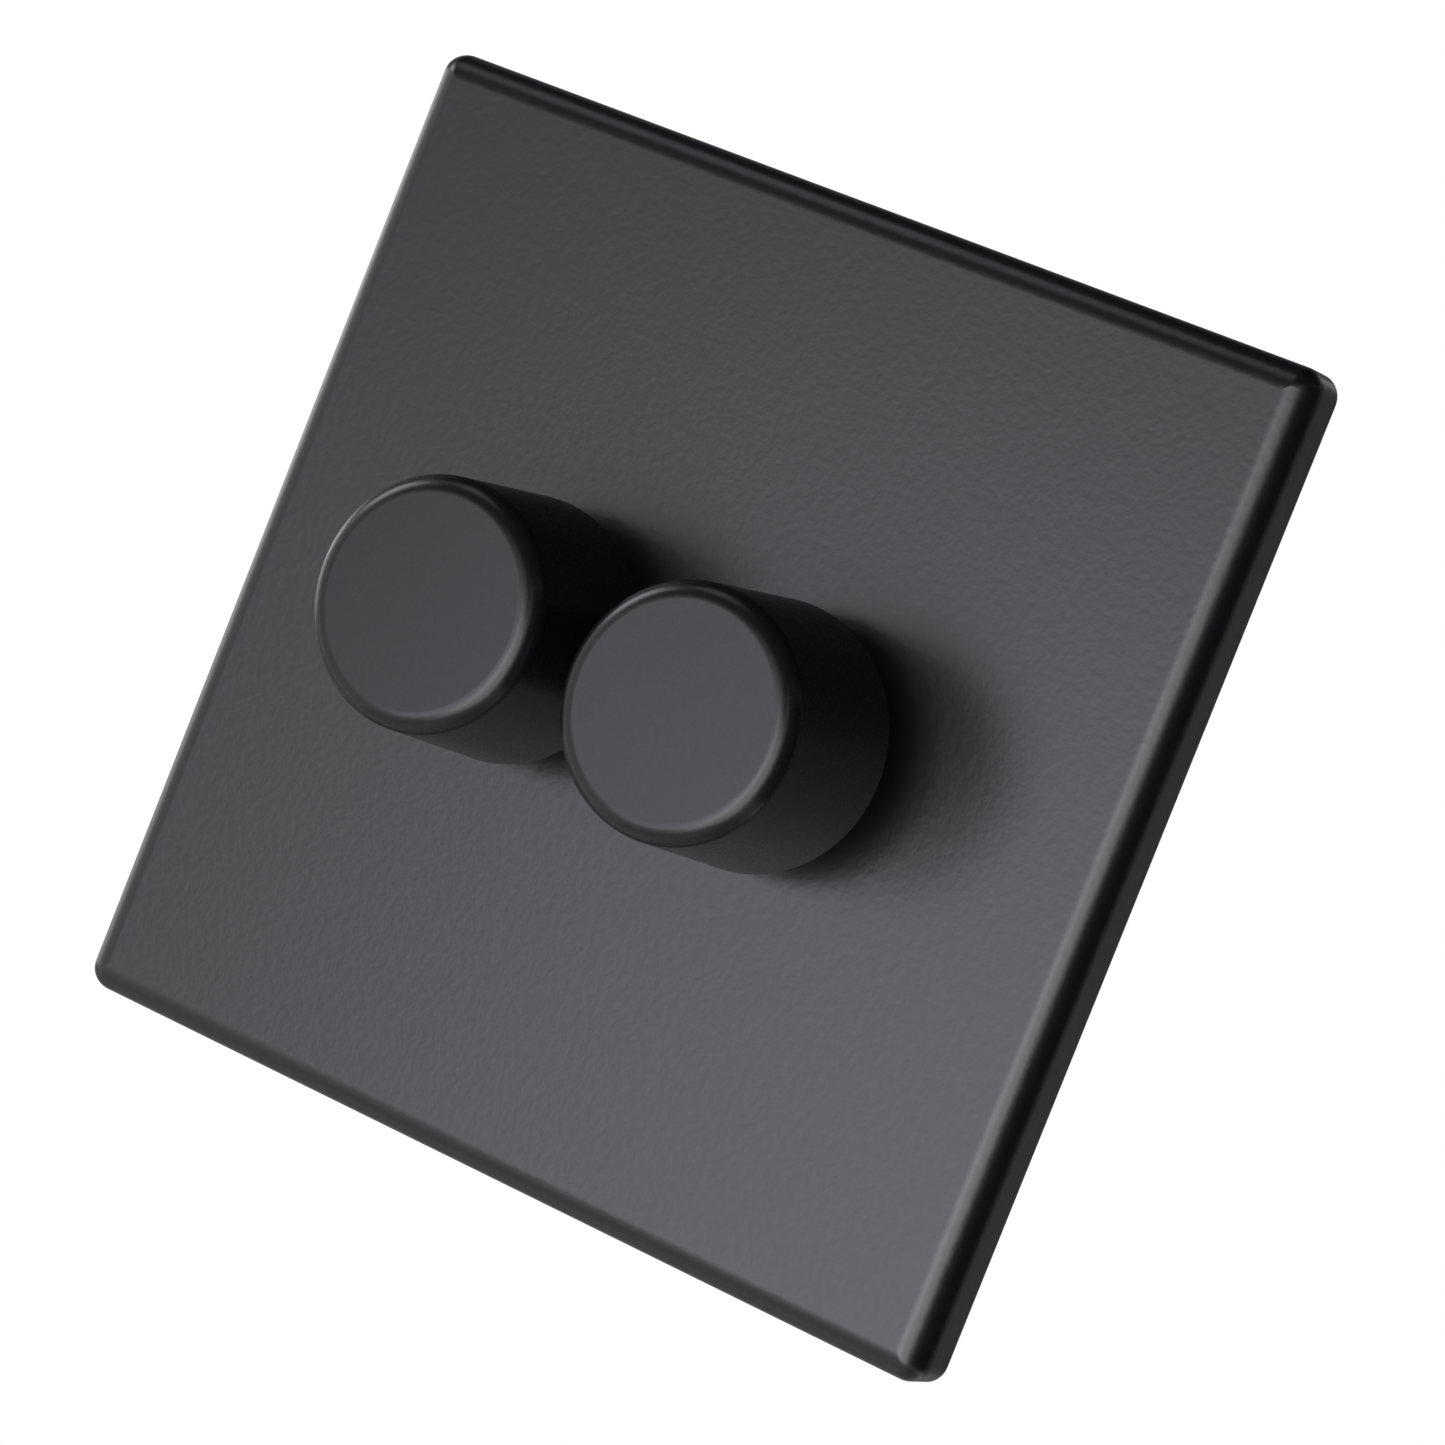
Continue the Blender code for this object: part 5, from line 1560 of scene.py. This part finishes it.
class DIMMER_OT_stage(bpy.types.Operator):
    """Sets up the camera, floor, world, softboxes and flags"""

    bl_idname = "dimmer.stage"
    bl_label = "Stage"

    def execute(self, context):
        settings = context.scene.dimmer_stage
        context.scene.view_settings.view_transform = "Standard"
        self.place_camera(context.scene, settings)
        self.light_world(context.scene, settings)
        self.lay_floor(settings)
        self.hang_softboxes(context.scene, settings)
        self.stand_flags(settings)
        return {"FINISHED"}

    def place_camera(self, scene, settings):
        camera = bpy.data.objects.new("camera", bpy.data.cameras.new("camera"))
        scene.collection.objects.link(camera)
        camera.data.lens = settings.lens
        camera.data.sensor_width = SENSOR
        camera.data.clip_start = settings.distance / 10
        aim = facing_plate(settings.azimuth, settings.elevation, settings.distance)
        tip = Matrix.Rotation(settings.roll, 4, "Z")
        camera.matrix_world = Matrix.Translation(settings.target) @ aim @ tip
        scene.camera = camera

    def light_world(self, scene, settings):
        """A world that is white to what looks at it, and a dim even fill on the rest."""
        world = bpy.data.worlds.new("studio")
        scene.world = world
        world.use_nodes = True
        tree = world.node_tree
        limits = {"Value": seen_directly(tree), "To Min": settings.fill, "To Max": 1.0}
        strength = add_node(tree, "MapRange", limits).outputs["Result"]
        background = tree.nodes["Background"]
        background.inputs["Color"].default_value = (1, 1, 1, 1)
        tree.links.new(strength, background.inputs["Strength"])

    def lay_floor(self, settings):
        """A pale floor that keeps the shadow and fades to the white background further out."""
        shape = {"vertices": ROUND, "radius": settings.floor_end, "fill_type": "NGON"}
        floor = added("floor", bpy.ops.mesh.primitive_circle_add, location=(0, 0, settings.floor), **shape)
        material = textured("painted_floor", settings.paint, roughness=0.8, grain=3.0, depth=0.02, tone=0.01)
        tree = material.node_tree
        where = add_node(tree, "TexCoord").outputs["Object"]
        flat = add_node(tree, "VectorMath", {0: where, 1: (1, 1, 0)}, operation="MULTIPLY").outputs["Vector"]
        distance = add_node(tree, "VectorMath", {0: flat}, operation="LENGTH").outputs["Value"]
        limits = {"Value": distance, "From Min": settings.fade_start, "From Max": settings.fade_end}
        fade = add_node(tree, "MapRange", limits, interpolation_type="SMOOTHSTEP").outputs["Result"]
        amounts = {0: fade, 1: seen_directly(tree)}
        amount = add_node(tree, "Math", amounts, operation="MULTIPLY").outputs["Value"]
        white = add_node(tree, "Emission").outputs["Emission"]
        paint = shader_of(material).outputs["BSDF"]
        mix = add_node(tree, "MixShader", {0: amount, 1: paint, 2: white}).outputs["Shader"]
        tree.links.new(mix, tree.nodes["Material Output"].inputs["Surface"])
        floor.data.materials.append(material)

    def hang_softboxes(self, scene, settings):
        for name, (azimuth, elevation, width, height, brightness, tint) in SOFTBOXES.items():
            lamp = bpy.data.lights.new(name, "AREA")
            lamp.shape = "RECTANGLE"
            lamp.size = width
            lamp.size_y = height
            lamp.energy = brightness * math.pi * width * height
            lamp.color = linear(tint)
            box = bpy.data.objects.new(name, lamp)
            scene.collection.objects.link(box)
            way = math.radians(azimuth), math.radians(elevation)
            box.matrix_world = facing_plate(*way, settings.softbox_distance)
            box.visible_camera = False
            box.visible_glossy = name not in FILL_LIGHTS

    def stand_flags(self, settings):
        """Matt cards that keep the white background out of what shines on their sides."""
        for name, (azimuth, elevation, width, height, shade) in FLAGS.items():
            card = added(name, bpy.ops.mesh.primitive_plane_add, size=1.0)
            way = math.radians(azimuth), math.radians(elevation)
            spread = Matrix.Diagonal((width, height, 1.0, 1.0))
            card.matrix_world = facing_plate(*way, settings.flag_distance) @ spread
            placed(name)
            finish = textured("matt_card_" + shade, linear(shade), roughness=0.95, grain=1.0, depth=0.1)
            card.data.materials.append(finish)
            card.visible_camera = False


PROPERTY_GROUPS = {
    "dimmer_plate": PlateSizes,
    "dimmer_knob": KnobSizes,
    "dimmer_frame": FrameSizes,
    "dimmer_module": ModuleSizes,
    "dimmer_hardware": HardwareSizes,
    "dimmer_control": ControlSizes,
    "dimmer_electronics": ElectronicsSizes,
    "dimmer_colours": FinishColours,
    "dimmer_stage": StageSettings,
}
OPERATORS = (
    DIMMER_OT_front_plate,
    DIMMER_OT_knobs,
    DIMMER_OT_clip_frame,
    DIMMER_OT_wall_gasket,
    DIMMER_OT_yoke_plate,
    DIMMER_OT_fixing_screws,
    DIMMER_OT_earth_terminal,
    DIMMER_OT_module_cases,
    DIMMER_OT_bushes,
    DIMMER_OT_spindles,
    DIMMER_OT_potentiometers,
    DIMMER_OT_push_switches,
    DIMMER_OT_electronics,
    DIMMER_OT_terminals,
    DIMMER_OT_stage,
)


class DIMMER_PT_sidebar(bpy.types.Panel):
    """Lists the dimmer's pieces and their sizes"""

    bl_label = "Rotary dimmer"
    bl_space_type = "VIEW_3D"
    bl_region_type = "UI"
    bl_category = "Dimmer"

    def draw(self, context):
        for operator in OPERATORS:
            self.layout.operator(operator.bl_idname)
        for name, group in PROPERTY_GROUPS.items():
            for prop in group.__annotations__:
                self.layout.prop(getattr(context.scene, name), prop)


def register():
    for name, group in PROPERTY_GROUPS.items():
        bpy.utils.register_class(group)
        setattr(bpy.types.Scene, name, PointerProperty(type=group))
    for operator in OPERATORS:
        bpy.utils.register_class(operator)
    bpy.utils.register_class(DIMMER_PT_sidebar)


def unregister():
    bpy.utils.unregister_class(DIMMER_PT_sidebar)
    for operator in reversed(OPERATORS):
        bpy.utils.unregister_class(operator)
    for name, group in PROPERTY_GROUPS.items():
        delattr(bpy.types.Scene, name)
        bpy.utils.unregister_class(group)


def main():
    register()
    for operator in OPERATORS:
        getattr(bpy.ops.dimmer, operator.bl_idname.split(".")[1])()


if __name__ == "__main__":
    main()
